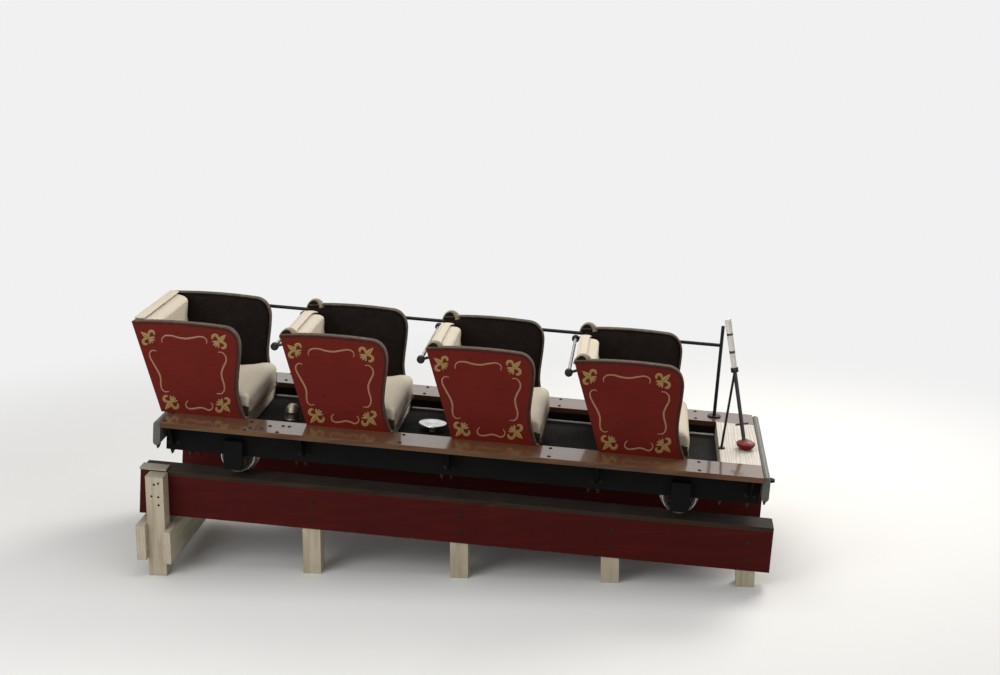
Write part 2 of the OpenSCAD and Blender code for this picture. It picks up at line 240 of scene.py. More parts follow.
def skin(grid: Array, marks: Marks | None = None, ring: bool = True, poles: bool = True) -> Shell:
    """Surface over a grid of points: each cell of the grid is a face.

    Args:
        grid: points by step along and step around.
        marks: values by the same steps.
        ring: the steps around close on themselves.
        poles: both ends close on their middle points.

    Returns:
        The shell.
    """
    n, m = grid.shape[:2]
    i, j = np.meshgrid(np.arange(n - 1), np.arange(m if ring else m - 1), indexing="ij")
    k = (j + 1) % m
    quads = np.stack([i * m + j, (i + 1) * m + j, (i + 1) * m + k, i * m + k], -1).reshape(-1, 4)
    points = grid.reshape(-1, 3)
    values = {key: v.reshape(-1) for key, v in (marks or {}).items()}
    tris = np.zeros((0, 3), int)
    if poles:
        a, b = np.arange(m), (np.arange(m) + 1) % m
        points = np.vstack([points, grid[0].mean(0), grid[-1].mean(0)])
        values = {key: np.append(v, [marks[key][0].mean(), marks[key][-1].mean()]) for key, v in values.items()}
        first, last = np.full(m, n * m), np.full(m, n * m + 1)
        tris = np.vstack([np.stack([first, a, b], 1), np.stack([last, (n - 1) * m + b, (n - 1) * m + a], 1)])
    return Shell(points, quads, tris, values)


def carried(path: Array, section: Array, y: float, size: Array | float = 1.0) -> Shell:
    """A closed section carried along an upright path at one distance from the middle of the car.

    Formula: point = path + outward normal * section height * size + Y * (y + section breadth * size).

    Args:
        path: X and Z of its points.
        section: height and breadth of the section's points, in order round it.
        y: where the path runs.
        size: the section's scale at each point of the path, or its two scales.

    Returns:
        The closed shell.
    """
    scale = np.broadcast_to(np.asarray(size, float).reshape(-1, 1) if np.ndim(size) < 2 else size, (len(path), 2))
    high = section[None, :, 0] * scale[:, :1]
    wide = section[None, :, 1] * scale[:, 1:]
    out = outward(path)
    return skin(np.stack([path[:, :1] + out[:, :1] * high, y + wide, path[:, 1:] + out[:, 1:] * high], -1))


def across(y: Array, x: Array, z: Array) -> Shell:
    """A closed surface of sections across the car: section k stands at y[k], with points x[k] and z[k].

    Args:
        y: distances from the middle of the car.
        x: X by section and by step round it.
        z: Z in the same order.

    Returns:
        The closed shell.
    """
    return skin(np.stack([x, np.broadcast_to(y[:, None], x.shape), z], -1))


def oval(high: float, wide: float, n: int = 16, power: float = 2.0) -> Array:
    """Superellipse section: |height / high|^power + |breadth / wide|^power = 1.

    Args:
        high: half its height.
        wide: half its breadth.
        n: number of points.
        power: 2 for an ellipse, more for a squarer one.

    Returns:
        Height and breadth of its points.
    """
    t = np.linspace(0, 2 * np.pi, n, endpoint=False)
    c, s = np.cos(t), np.sin(t)
    return np.stack([high * np.sign(c) * abs(c) ** (2 / power), wide * np.sign(s) * abs(s) ** (2 / power)], 1)


def turned(profile: Array, n: int = 40) -> Shell:
    """A profile turned round the Z axis: x = r cos a, y = r sin a.

    Args:
        profile: radius and height of its points.
        n: number of steps round.

    Returns:
        The closed shell.
    """
    a = np.linspace(0, 2 * np.pi, n, endpoint=False)
    r, z = profile[:, :1], profile[:, 1:]
    return skin(np.stack([r * np.cos(a), r * np.sin(a), z + 0 * a], -1))


def closing(n: int, share: float, least: float = 0.05) -> Array:
    """Scale that rises from a rounded end, holds, and falls again: square root of 1 - (1 - t / share)^2.

    Args:
        n: number of points.
        share: part of the length that each end takes.
        least: its smallest value.

    Returns:
        n values up to 1.
    """
    t = np.linspace(0, 1, n)
    edge = np.clip(np.minimum(t, 1 - t) / share, 0, 1)
    return np.maximum(np.sqrt(np.clip(1 - (1 - edge) ** 2, 0, 1)), least)


def placed(name: str, data: bpy.types.ID) -> Solid:
    """Puts a new object at the origin of the scene.

    Args:
        name: its name.
        data: its mesh, lamp or camera.

    Returns:
        The object.
    """
    obj = bpy.data.objects.new(name, data)
    bpy.context.scene.collection.objects.link(obj)
    return obj


def make_mesh(name: str, shell: Shell, metres: bool = False) -> Solid:
    """Puts a shell into a mesh object at the origin.

    Args:
        name: the object's name.
        shell: the surface.
        metres: its points are already in the frame's metres.

    Returns:
        The object, in the scene, with its faces turned outwards.
    """
    mesh = bpy.data.meshes.new(name)
    points = shell.points if metres else AXES.place(shell.points)
    mesh.vertices.add(len(points))
    mesh.vertices.foreach_set("co", points.astype(np.float32).ravel())
    corners = np.concatenate([shell.quads.ravel(), shell.tris.ravel()]).astype(np.int32)
    mesh.loops.add(len(corners))
    mesh.loops.foreach_set("vertex_index", corners)
    q, t = len(shell.quads), len(shell.tris)
    mesh.polygons.add(q + t)
    starts = np.concatenate([np.arange(q) * 4, 4 * q + np.arange(t) * 3]).astype(np.int32)
    mesh.polygons.foreach_set("loop_start", starts)
    mesh.update(calc_edges=True)
    mesh.validate()
    for key, values in shell.marks.items():
        mesh.attributes.new(key, "FLOAT", "POINT").data.foreach_set("value", values.astype(np.float32))
    bm = bmesh.new()
    bm.from_mesh(mesh)
    bmesh.ops.recalc_face_normals(bm, faces=bm.faces)
    bm.to_mesh(mesh)
    bm.free()
    return placed(name, mesh)


def finish_piece(obj: Solid, finish: "Finish", *nodes: str, crease: float = 50.0) -> Solid:
    """Shades and paints a piece, lets it ride with the car and stand, and lets it stand for CAD nodes.

    Args:
        obj: the piece.
        finish: what its surface is.
        nodes: the CAD nodes that it replaces.
        crease: angle in degrees over which an edge stays sharp.

    Returns:
        The piece.
    """
    mesh = obj.data
    mesh.polygons.foreach_set("use_smooth", np.ones(len(mesh.polygons), bool))
    mesh.set_sharp_from_angle(angle=math.radians(crease))
    mesh.materials.clear()
    mesh.materials.append(finish.material())
    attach(obj, ROOT)
    if nodes:
        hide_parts(*nodes)
    LOG.info("%s: %d faces, %s", obj.name, len(mesh.polygons), finish.name)
    return obj


def dress(node: str, finish: "Finish") -> None:
    """Gives a CAD node, whose mesh stays as it is, its finish.

    Args:
        node: the node's name.
        finish: what its surface is.
    """
    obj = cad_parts[node]
    obj.data.materials.clear()
    obj.data.materials.append(finish.material())
    LOG.info("%s: %s", node, finish.name)


# Node work


class Bench:
    """Places and joins the nodes of one material or node group."""

    def __init__(self, tree: bpy.types.NodeTree) -> None:
        """Takes the tree to work on."""
        self.tree = tree

    @classmethod
    def cleared(cls, owner: bpy.types.ID) -> "Bench":
        """A bench for an emptied node tree.

        Args:
            owner: the material or world whose tree it is.

        Returns:
            The bench.
        """
        owner.use_nodes = True
        owner.node_tree.nodes.clear()
        return cls(owner.node_tree)

    def put(self, kind: str, inputs: dict | None = None, **settings: object) -> bpy.types.Node:
        """Adds a node.

        Args:
            kind: its type name after "ShaderNode".
            inputs: socket name or number, with a value or the socket that feeds it.
            settings: the node's own settings, which are made first.

        Returns:
            The node.
        """
        node = self.tree.nodes.new("ShaderNode" + kind)
        for key, value in settings.items():
            setattr(node, key, value)
        for key, value in (inputs or {}).items():
            if isinstance(value, Socket):
                self.tree.links.new(value, node.inputs[key])
            else:
                node.inputs[key].default_value = value
        return node

    def use(self, group: bpy.types.NodeTree, inputs: dict) -> bpy.types.bpy_prop_collection:
        """The outputs of a node group that is placed and fed here."""
        return self.put("Group", inputs, node_tree=group).outputs

    def maths(self, op: str, a: object, b: object = 0.0, clamp: bool = False) -> Socket:
        """One Math node's result."""
        return self.put("Math", {0: a, 1: b}, operation=op, use_clamp=clamp).outputs[0]

    def times(self, a: object, b: object, clamp: bool = False) -> Socket:
        """a times b."""
        return self.maths("MULTIPLY", a, b, clamp)

    def plus(self, a: object, b: object, clamp: bool = False) -> Socket:
        """a plus b."""
        return self.maths("ADD", a, b, clamp)

    def minus(self, a: object, b: object, clamp: bool = False) -> Socket:
        """a minus b."""
        return self.maths("SUBTRACT", a, b, clamp)

    def vectors(self, op: str, a: object, b: object = (0.0, 0.0, 0.0)) -> Socket:
        """One Vector Math node's result: a number for a length or a dot product, or else a vector."""
        number = op in ("LENGTH", "DOT_PRODUCT")
        return self.put("VectorMath", {0: a, 1: b}, operation=op).outputs["Value" if number else "Vector"]

    def part(self, vector: object, axis: int) -> Socket:
        """One part of a vector: 0 for X, 1 for Y, 2 for Z."""
        return self.put("SeparateXYZ", {0: vector}).outputs[axis]

    def normal(self) -> Socket:
        """The surface's own normal."""
        return self.put("NewGeometry").outputs["Normal"]

    def mix(self, share: object, a: object, b: object) -> Socket:
        """Colour a turning into colour b by share."""
        fix = [(*v, 1.0) if isinstance(v, tuple) and len(v) == 3 else v for v in (a, b)]
        return self.put("Mix", {0: share, 6: fix[0], 7: fix[1]}, data_type="RGBA").outputs[2]

    def span(self, value: object, low: float, high: float, to_low: float = 0.0, to_high: float = 1.0) -> Socket:
        """Value taken smoothly from one span to another."""
        sockets = {"Value": value, "From Min": low, "From Max": high, "To Min": to_low, "To Max": to_high}
        return self.put("MapRange", sockets, interpolation_type="SMOOTHSTEP").outputs[0]

    def noise(
        self, vector: object, scale: float, detail: float = 3.0, rough: float = 0.55, warp: float = 0.0
    ) -> Socket:
        """Noise from 0 to 1."""
        sockets = {"Vector": vector, "Scale": scale, "Detail": detail, "Roughness": rough, "Distortion": warp}
        return self.put("TexNoise", sockets).outputs[0]

    def mapped(self, vector: object, scale: tuple = (1, 1, 1), turn: tuple = (0, 0, 0)) -> Socket:
        """Vector turned by degrees and scaled."""
        angles = tuple(math.radians(a) for a in turn)
        return self.put("Mapping", {"Vector": vector, "Rotation": angles, "Scale": scale}).outputs[0]


class Effects:
    """Node groups for effects that several finishes share, each built once."""

    built: dict[str, bpy.types.NodeTree] = {}
    figure_stretch = (1.3, 16, 16)
    ring_stretch = (0.35, 5, 5)
    fibre_stretch = (7, 300, 300)

    @classmethod
    def group(
        cls, name: str, ins: dict[str, tuple], outs: list[str], fill: Callable[[Bench, dict], dict]
    ) -> bpy.types.NodeTree:
        """Makes a node group, or gives the one already made.

        Args:
            name: its name.
            ins: each input's name, socket type and default.
            outs: the outputs' names; one ending in "Normal" is a vector.
            fill: puts in the nodes and returns the socket for each output.

        Returns:
            The group.
        """
        if name in cls.built:
            return cls.built[name]
        tree = bpy.data.node_groups.new(name, "ShaderNodeTree")
        for key, (kind, default) in ins.items():
            made = tree.interface.new_socket(name=key, in_out="INPUT", socket_type="NodeSocket" + kind)
            if default is not None:
                made.default_value = default
        for key in outs:
            kind = "Vector" if key.endswith("Normal") else "Float"
            tree.interface.new_socket(name=key, in_out="OUTPUT", socket_type="NodeSocket" + kind)
        enter, leave = tree.nodes.new("NodeGroupInput"), tree.nodes.new("NodeGroupOutput")
        results = fill(Bench(tree), {s.name: s for s in enter.outputs if s.name})
        for key, socket in results.items():
            tree.links.new(socket, leave.inputs[key])
        cls.built[name] = tree
        return tree

    @classmethod
    def grain(cls) -> bpy.types.NodeTree:
        """Wood grain along local X: broad figure, fine fibres, and their height.

        Returns:
            The group.
        """

        def fill(b: Bench, s: dict) -> dict:
            """Long noise and warped rings for figure, longer and finer noise for fibres.

            Args:
                b: the group's bench.
                s: its inputs by name.

            Returns:
                The socket for each output.
            """
            broad = b.noise(b.mapped(s["Vector"], cls.figure_stretch), 1.6, 4, 0.6, 0.9)
            waves = {"Vector": b.mapped(s["Vector"], cls.ring_stretch), "Scale": 3.4}
            waves.update({"Distortion": 7.0, "Detail": 3.0, "Detail Scale": 1.4})
            rings = b.put("TexWave", waves, bands_direction="Y").outputs[1]
            fine = b.noise(b.mapped(s["Vector"], cls.fibre_stretch), 1.0, 3, 0.7)
            figure = b.plus(b.times(broad, 0.6), b.times(rings, 0.4))
            height = b.plus(b.times(fine, 0.7), b.times(rings, 0.3))
            return {"Figure": figure, "Fibre": fine, "Height": height}

        return cls.group("wood grain", {"Vector": ("Vector", None)}, ["Figure", "Fibre", "Height"], fill)

    @classmethod
    def edges(cls) -> bpy.types.NodeTree:
        """Wear mask along edges, and the normal of slightly rounded edges.

        Returns:
            The group.
        """

        def fill(b: Bench, s: dict) -> dict:
            """Where the rounded normal leaves the true one, broken up by noise.

            Args:
                b: the group's bench.
                s: its inputs by name.

            Returns:
                The socket for each output.
            """
            soft = b.put("Bevel", {"Radius": s["Radius"]}, samples=4).outputs[0]
            edge = b.times(b.minus(1.0, b.vectors("DOT_PRODUCT", soft, b.normal())), 9.0)
            torn = b.noise(s["Vector"], 34.0, 5, 0.65)
            mask = b.times(b.span(b.plus(edge, torn), 0.78, 1.05), s["Amount"], True)
            return {"Mask": mask, "Soft Normal": soft}

        ins = {"Vector": ("Vector", None), "Radius": ("Float", 0.004), "Amount": ("Float", 0.5)}
        return cls.group("worn edges", ins, ["Mask", "Soft Normal"], fill)

    @classmethod
    def dust(cls) -> bpy.types.NodeTree:
        """Dust on what faces up, in soft patches.

        Returns:
            The group.
        """

        def fill(b: Bench, s: dict) -> dict:
            """Upward share of the normal times noise.

            Args:
                b: the group's bench.
                s: its inputs by name.

            Returns:
                The socket for each output.
            """
            up = b.span(b.part(b.normal(), 2), 0.35, 0.95)
            patch = b.span(b.noise(s["Vector"], 7.0, 6, 0.65), 0.3, 0.75, 0.35, 1.0)
            return {"Mask": b.times(b.times(up, patch), s["Amount"], True)}

        return cls.group("settled dust", {"Vector": ("Vector", None), "Amount": ("Float", 0.3)}, ["Mask"], fill)

    @classmethod
    def pile(cls) -> bpy.types.NodeTree:
        """Velvet pile: brushed patches, tufts and their height.

        Returns:
            The group.
        """

        def fill(b: Bench, s: dict) -> dict:
            """Large warped noise for the brushed patches, small noise for tufts.

            Args:
                b: the group's bench.
                s: its inputs by name.

            Returns:
                The socket for each output.
            """
            nap = b.noise(s["Vector"], 9.0, 5, 0.6, 1.4)
            tuft = b.noise(s["Vector"], 520.0, 2, 0.6)
            rub = b.noise(b.mapped(s["Vector"], (1, 3, 1)), 24.0, 4, 0.6)
            height = b.plus(b.times(tuft, 0.6), b.times(rub, 0.8))
            return {"Nap": nap, "Rub": rub, "Height": height}

        return cls.group("velvet pile", {"Vector": ("Vector", None)}, ["Nap", "Rub", "Height"], fill)


# Finishes


class Grain(Enum):
    """Which way a timber's grain runs, as the turn that lays it along local X."""

    CAR = (0.0, 4.0, 0.0)
    ACROSS = (0.0, 0.0, 90.0)
    UPRIGHT = (0.0, 90.0, 0.0)


def darker(colour: Colour, share: float) -> Colour:
    """A share of a colour's light."""
    return tuple(share * c for c in colour)


@dataclass(frozen=True)
class Finish:
    """A surface finish: its name, a slot name, and the colour that it mostly shows."""

    name: str
    slot: str
    colour: Colour

    def material(self) -> bpy.types.Material:
        """Builds the material once.

        Returns:
            The Blender material.
        """
        made = bpy.data.materials.get(self.name)
        if made is None:
            made = bpy.data.materials.new(self.name)
            bench = Bench.cleared(made)
            here = bench.put("TexCoord").outputs["Object"]
            sockets, height, depth = self.layers(bench, here)
            if height is not None:
                bump = {"Height": height, "Strength": 1.0, "Distance": depth}
                if "Normal" in sockets:
                    bump["Normal"] = sockets["Normal"]
                sockets["Normal"] = bench.put("Bump", bump).outputs[0]
            shader = bench.put("BsdfPrincipled", sockets)
            bench.put("OutputMaterial", {"Surface": shader.outputs[0]})
        return made

    def layers(self, b: Bench, here: Socket) -> Layers:
        """What the shader reads. Each kind of finish gives its own.

        Args:
            b: the material's bench.
            here: where the surface is, in Object coordinates.

        Returns:
            The shader's sockets, the bump's height and its depth in metres.
        """
        raise NotImplementedError


@dataclass(frozen=True)
class Timber(Finish):
    """Bare, stained, varnished or painted wood."""

    second: Colour = (0.1, 0.1, 0.1)
    bare: Colour = (0.3, 0.2, 0.12)
    grain: Grain = Grain.CAR
    rough: float = 0.6
    coat: float = 0.0
    wear: float = 0.4
    dust: float = 0.25
    figure: float = 1.0
    relief: float = 0.0006
    specular: float = 0.4
    gloss: tuple[float, float] = (1.5, 0.12)
    round_edge: float = 0.004
    end_colour: Colour | None = None
    dust_tone: Colour = (0.36, 0.33, 0.29)

    def layers(self, b: Bench, here: Socket) -> Layers:
        """Grain between two tones, bare wood at worn edges and scuffs, dust, and varnish mostly on what faces up.

        Args:
            b: the material's bench.
            here: where the surface is, in Object coordinates.

        Returns:
            The shader's sockets, the bump's height and its depth in metres.
        """
        wood = b.use(Effects.grain(), {"Vector": b.mapped(here, turn=self.grain.value)})
        edge = b.use(Effects.edges(), {"Vector": here, "Radius": self.round_edge, "Amount": self.wear})
        dirt = b.use(Effects.dust(), {"Vector": here, "Amount": self.dust})
        tone = b.span(wood["Figure"], 0.3, 0.72, 0.0, self.figure)
        colour = b.mix(tone, self.colour, self.second)
        blotch = b.span(b.noise(here, 3.1, 5, 0.6, 0.6), 0.35, 0.7)
        colour = b.mix(b.times(blotch, 0.35), colour, darker(self.colour, 0.55))
        scuff = b.span(b.noise(b.mapped(here, (3, 14, 14), self.grain.value), 3.0, 6, 0.7), 0.64, 0.7)
        worn = b.maths("MAXIMUM", edge["Mask"], b.times(scuff, 0.6 * self.wear), True)
        colour = b.mix(worn, colour, b.mix(wood["Fibre"], self.bare, darker(self.bare, 0.6)))
        if self.end_colour is not None:
            end = b.span(b.maths("ABSOLUTE", b.part(b.normal(), 0)), 0.9, 0.97)
            colour = b.mix(end, colour, b.mix(wood["Fibre"], self.end_colour, darker(self.end_colour, 0.7)))
        satin = b.span(wood["Figure"], 0.2, 0.8, self.rough - 0.06, self.rough + 0.08)
        sockets = {
            "Base Color": b.mix(dirt["Mask"], colour, self.dust_tone),
            "Roughness": b.plus(satin, b.times(worn, 0.25), True),
            "Normal": edge["Soft Normal"],
            "Specular IOR Level": self.specular,
            "Coat Weight": b.span(b.part(b.normal(), 2), 0.5, 0.8, 0.15 * self.coat, self.coat),
            "Coat IOR": self.gloss[0],
            "Coat Roughness": self.gloss[1],
        }
        return sockets, wood["Height"], self.relief


@dataclass(frozen=True)
class Enamel(Finish):
    """Paint or enamel on metal or smooth board."""

    under: Colour = (0.08, 0.05, 0.035)
    rough: float = 0.35
    coat: float = 0.3
    wear: float = 0.3
    dust: float = 0.2
    mottle: float = 0.35
    specular: float = 0.35
    round_edge: float = 0.003
    dust_tone: Colour = (0.30, 0.27, 0.24)

    def layers(self, b: Bench, here: Socket) -> Layers:
        """Even colour with faint brush mottling, undercoat at worn edges and chips, dust on top.

        Args:
            b: the material's bench.
            here: where the surface is, in Object coordinates.

        Returns:
            The shader's sockets, the bump's height and its depth in metres.
        """
        edge = b.use(Effects.edges(), {"Vector": here, "Radius": self.round_edge, "Amount": self.wear})
        dirt = b.use(Effects.dust(), {"Vector": here, "Amount": self.dust})
        cloud = b.noise(here, 4.2, 5, 0.6, 0.5)
        streak = b.noise(b.mapped(here, (2, 2, 26)), 2.2, 4, 0.6)
        shade = b.times(b.span(b.times(b.plus(cloud, streak), 0.5), 0.35, 0.65), self.mottle)
        colour = b.mix(shade, self.colour, darker(self.colour, 0.5))
        chip = b.span(b.noise(here, 46.0, 4, 0.6), 0.7, 0.73)
        worn = b.maths("MAXIMUM", edge["Mask"], b.times(chip, 0.5 * self.wear), True)
        satin = b.span(cloud, 0.3, 0.7, self.rough - 0.05, self.rough + 0.07)
        film = b.noise(here, 90.0, 3, 0.5)
        sockets = {
            "Base Color": b.mix(dirt["Mask"], b.mix(worn, colour, self.under), self.dust_tone),
            "Roughness": b.plus(satin, b.times(worn, 0.3), True),
            "Specular IOR Level": self.specular,
            "Coat Weight": self.coat,
            "Coat Roughness": 0.1,
            "Normal": edge["Soft Normal"],
        }
        return sockets, b.minus(b.times(film, 0.5), worn), 0.0003


@dataclass(frozen=True)
class Velvet(Finish):
    """Upholstery velvet with a brushed, partly rubbed pile."""

    rubbed: Colour = (0.3, 0.25, 0.2)
    sheen: float = 0.5
    patch: float = 0.5

    def layers(self, b: Bench, here: Socket) -> Layers:
        """Pile colour, darker where it lies the other way, paler where it is rubbed.

        Args:
            b: the material's bench.
            here: where the surface is, in Object coordinates.

        Returns:
            The shader's sockets, the bump's height and its depth in metres.
        """
        pile = b.use(Effects.pile(), {"Vector": here})
        colour = b.mix(b.span(pile["Nap"], 0.35, 0.68, 0.0, self.patch), self.colour, darker(self.colour, 0.62))
        sockets = {
            "Base Color": b.mix(b.span(pile["Rub"], 0.5, 0.75, 0.0, 0.4), colour, self.rubbed),
            "Roughness": b.span(pile["Nap"], 0.2, 0.8, 0.82, 0.98),
            "Sheen Weight": self.sheen,
            "Sheen Roughness": 0.45,
            "Sheen Tint": (*self.rubbed, 1.0),
            "Specular IOR Level": 0.15,
        }
        return sockets, pile["Height"], 0.0009


@dataclass(frozen=True)
class SignPaint(Finish):
    """Hand-laid ornament paint, paler towards each stroke's rim."""

    rim: Colour = (0.8, 0.6, 0.35)
    ground: Colour = (0.17, 0.05, 0.03)

    def layers(self, b: Bench, here: Socket) -> Layers:
        """Colour from the stroke's middle to its rim, with brush streaks and worn spots.

        Args:
            b: the material's bench.
            here: where the surface is, in Object coordinates.

        Returns:
            The shader's sockets, the bump's height and its depth in metres.
        """
        side = b.put("Attribute", attribute_name="rim").outputs["Fac"]
        streak = b.noise(here, 120.0, 3, 0.6)
        colour = b.mix(b.span(b.plus(side, b.times(streak, 0.4)), 0.55, 1.1), self.colour, self.rim)
        worn = b.span(b.noise(here, 38.0, 5, 0.7), 0.6, 0.72, 0.0, 0.6)
        sockets = {
            "Base Color": b.mix(worn, colour, self.ground),
            "Roughness": b.span(streak, 0.3, 0.7, 0.4, 0.6),
            "Coat Weight": 0.25,
            "Coat Roughness": 0.15,
        }
        return sockets, streak, 0.0003


@dataclass(frozen=True)
class Metal(Finish):
    """Bare metal, tarnished in patches, with a bright worn zone where something rubs it."""

    tarnish: Colour = (0.1, 0.08, 0.06)
    rough: float = 0.35
    metallic: float = 1.0
    spots: float = 0.5
    wheel: Point | None = None
    tread: float = 0.104
    wheel_r: float = 0.2
    tread_tone: Colour = (0.5, 0.48, 0.46)

    def layers(self, b: Bench, here: Socket) -> Layers:
        """Clean and tarnished metal by noise; on wheels, bright metal beyond the tread's radius.

        Args:
            b: the material's bench.
            here: where the surface is, in Object coordinates.

        Returns:
            The shader's sockets, the bump's height and its depth in metres.
        """
        cloud = b.noise(here, 14.0, 6, 0.65, 0.4)
        fine = b.noise(here, 160.0, 3, 0.6)
        stain = b.span(b.plus(b.times(cloud, 0.8), b.times(fine, 0.2)), 0.4, 0.62, 0.0, self.spots)
        colour = b.mix(stain, self.colour, self.tarnish)
        rough = b.span(cloud, 0.3, 0.7, self.rough - 0.08, self.rough + 0.15)
        if self.wheel is not None:
            flat = b.vectors("MULTIPLY", b.vectors("SUBTRACT", here, self.wheel), (1.0, 0.0, 1.0))
            far = b.vectors("LENGTH", flat)
            bright = b.span(far, self.tread, self.tread + 0.003)
            bright = b.times(bright, b.span(far, self.wheel_r, self.wheel_r - 0.01))
            colour = b.mix(bright, colour, self.tread_tone)
            rough = b.minus(rough, b.times(bright, 0.25), True)
        return {"Base Color": colour, "Roughness": rough, "Metallic": self.metallic}, b.plus(cloud, fine), 0.0004


@dataclass(frozen=True)
class LeverCoat(Finish):
    """The brake lever: black shaft, and a white grip with two black bands."""

    foot: Point = (0.0, 0.0, 0.0)
    way: Point = (0.0, 0.0, 1.0)
    grip: float = 0.558
    bands: tuple[tuple[float, float], ...] = ((0.655, 0.672), (0.775, 0.79))
    white: Colour = (0.72, 0.69, 0.62)
    soiled: Colour = (0.45, 0.41, 0.35)
    chipped: Colour = (0.12, 0.1, 0.09)
    dusty: Colour = (0.035, 0.032, 0.03)

    def layers(self, b: Bench, here: Socket) -> Layers:
        """Colour by the distance along the lever, with chips and dirt.

        Args:
            b: the material's bench.
            here: where the surface is, in Object coordinates.

        Returns:
            The shader's sockets, the bump's height and its depth in metres.
        """
        along = b.vectors("DOT_PRODUCT", b.vectors("SUBTRACT", here, self.foot), self.way)
        white = b.maths("GREATER_THAN", along, self.grip)
        for low, high in self.bands:
            band = b.times(b.maths("GREATER_THAN", along, low), b.maths("LESS_THAN", along, high))
            white = b.minus(white, band, True)
        chips = b.span(b.noise(here, 60.0, 5, 0.7), 0.6, 0.68, 0.0, 0.7)
        grime = b.noise(here, 22.0, 4, 0.6)
        pale = b.mix(b.span(grime, 0.4, 0.7, 0.0, 0.5), self.white, self.soiled)
        pale = b.mix(chips, pale, self.chipped)
        dark = b.mix(b.span(grime, 0.4, 0.7), self.colour, self.dusty)
        rough = b.span(grime, 0.3, 0.7, 0.28, 0.45)
        return {"Base Color": b.mix(white, dark, pale), "Roughness": rough, "Coat Weight": 0.2}, grime, 0.0003


@dataclass(frozen=True)
class BarCoat(Finish):
    """The grab bars: worn bright steel between black turned ends."""

    half: float = 0.455
    steel: Colour = (0.52, 0.51, 0.49)
    spots: Colour = (0.2, 0.185, 0.17)

    def layers(self, b: Bench, here: Socket) -> Layers:
        """Colour by the distance from the car's middle, with spots on the steel.

        Args:
            b: the material's bench.
            here: where the surface is, in Object coordinates.

        Returns:
            The shader's sockets, the bump's height and its depth in metres.
        """
        end = b.maths("GREATER_THAN", b.maths("ABSOLUTE", b.part(here, 1)), self.half)
        grime = b.noise(here, 30.0, 4, 0.6)
        steel = b.mix(b.span(grime, 0.45, 0.7, 0.0, 0.7), self.steel, self.spots)
        sockets = {
            "Base Color": b.mix(end, steel, self.colour),
            "Metallic": b.span(end, 0.0, 1.0, 1.0, 0.0),
            "Roughness": b.span(grime, 0.3, 0.7, 0.24, 0.5),
            "Specular IOR Level": 0.25,
        }
        return sockets, grime, 0.0002


def lever_line(x: float = 3802.0, y: float = -130.0, lean: float = 13.0) -> tuple[Point, Point]:
    """The line that the brake lever stands on.

    Args:
        x: its foot along the car.
        y: its foot across the car.
        lean: how far it leans to the rear, in degrees.

    Returns:
        Its foot and its direction, in the frame's metres.
    """
    turn = math.radians(lean)
    ends = AXES.place(np.array([[x, y, 0.0], [x - 1000 * math.sin(turn), y, 1000 * math.cos(turn)]]))
    return tuple(ends[0]), tuple(ends[1] - ends[0])


PANEL_RED = Enamel(
    "panel_red_paint", "panel_red", (0.115, 0.0075, 0.0035), under=(0.04, 0.016, 0.010), rough=0.4, coat=0.0,
    wear=0.4, dust=0.02, specular=0.11,
)
BACK_RED = Enamel(
    "back_red_paint", "panel_red", (0.085, 0.006, 0.0035), under=(0.04, 0.022, 0.015), rough=0.48, coat=0.0, wear=0.5,
    dust=0.03, specular=0.11,
)
GOLD = SignPaint("gold_ornament_paint", "panel_red", (0.178, 0.110, 0.013), rim=(0.30, 0.195, 0.052))
CREAM_LINE = SignPaint("cream_line_paint", "panel_red", (0.215, 0.10, 0.038), rim=(0.27, 0.14, 0.06))
BEAM_RED = Timber(
    "beam_red_paint", "beam_red", (0.062, 0.0042, 0.003), second=(0.045, 0.0035, 0.0028), bare=(0.05, 0.022, 0.015),
    rough=0.55, wear=0.3, dust=0.05, figure=0.7, relief=0.0008, specular=0.09,
)
CAP_BROWN = Timber(
    "cap_weathered_brown", "cap_brown", (0.020, 0.012, 0.008), second=(0.036, 0.022, 0.015),
    bare=(0.13, 0.095, 0.065), rough=0.7, wear=0.5, dust=0.07, relief=0.0014, specular=0.1,
    end_colour=(0.40, 0.33, 0.24),
)
POST_CREAM = Timber(
    "post_cream_paint", "post_cream", (0.42, 0.36, 0.26), second=(0.31, 0.26, 0.18), bare=(0.18, 0.12, 0.07),
    grain=Grain.UPRIGHT, rough=0.62, wear=0.8, dust=0.12, figure=0.7, relief=0.001,
)
LEDGER_CREAM = Timber(
    "ledger_cream_paint", "post_cream", (0.46, 0.40, 0.295), second=(0.34, 0.29, 0.21), bare=(0.18, 0.12, 0.07),
    grain=Grain.ACROSS, rough=0.62, wear=0.7, dust=0.12, figure=0.7, relief=0.001,
)
PLANK = Timber(
    "plank_varnish", "varnished_plank", (0.115, 0.052, 0.021), second=(0.07, 0.029, 0.0115), bare=(0.2, 0.125, 0.07),
    rough=0.34, coat=0.8, wear=0.45, dust=0.02, relief=0.0004, gloss=(1.62, 0.08), specular=0.15, round_edge=0.007,
)
DECK_PALE = Timber(
    "deck_pale_boards", "pale_boards", (0.60, 0.55, 0.46), second=(0.42, 0.37, 0.30), bare=(0.3, 0.23, 0.16),
    grain=Grain.ACROSS, rough=0.5, coat=0.3, wear=0.5, dust=0.2,
)
DARK_BOARDS = Timber(
    "well_dark_boards", "dark_boards", (0.0065, 0.006, 0.0055), second=(0.011, 0.009, 0.008),
    bare=(0.035, 0.028, 0.022), grain=Grain.ACROSS, rough=0.8, wear=0.25, dust=0.03, specular=0.05,
)
WELL_STRIP = Timber(
    "well_edge_strip", "pale_boards", (0.50, 0.47, 0.41), second=(0.38, 0.34, 0.29), bare=(0.2, 0.16, 0.12),
    rough=0.55, wear=0.3, dust=0.1,
)
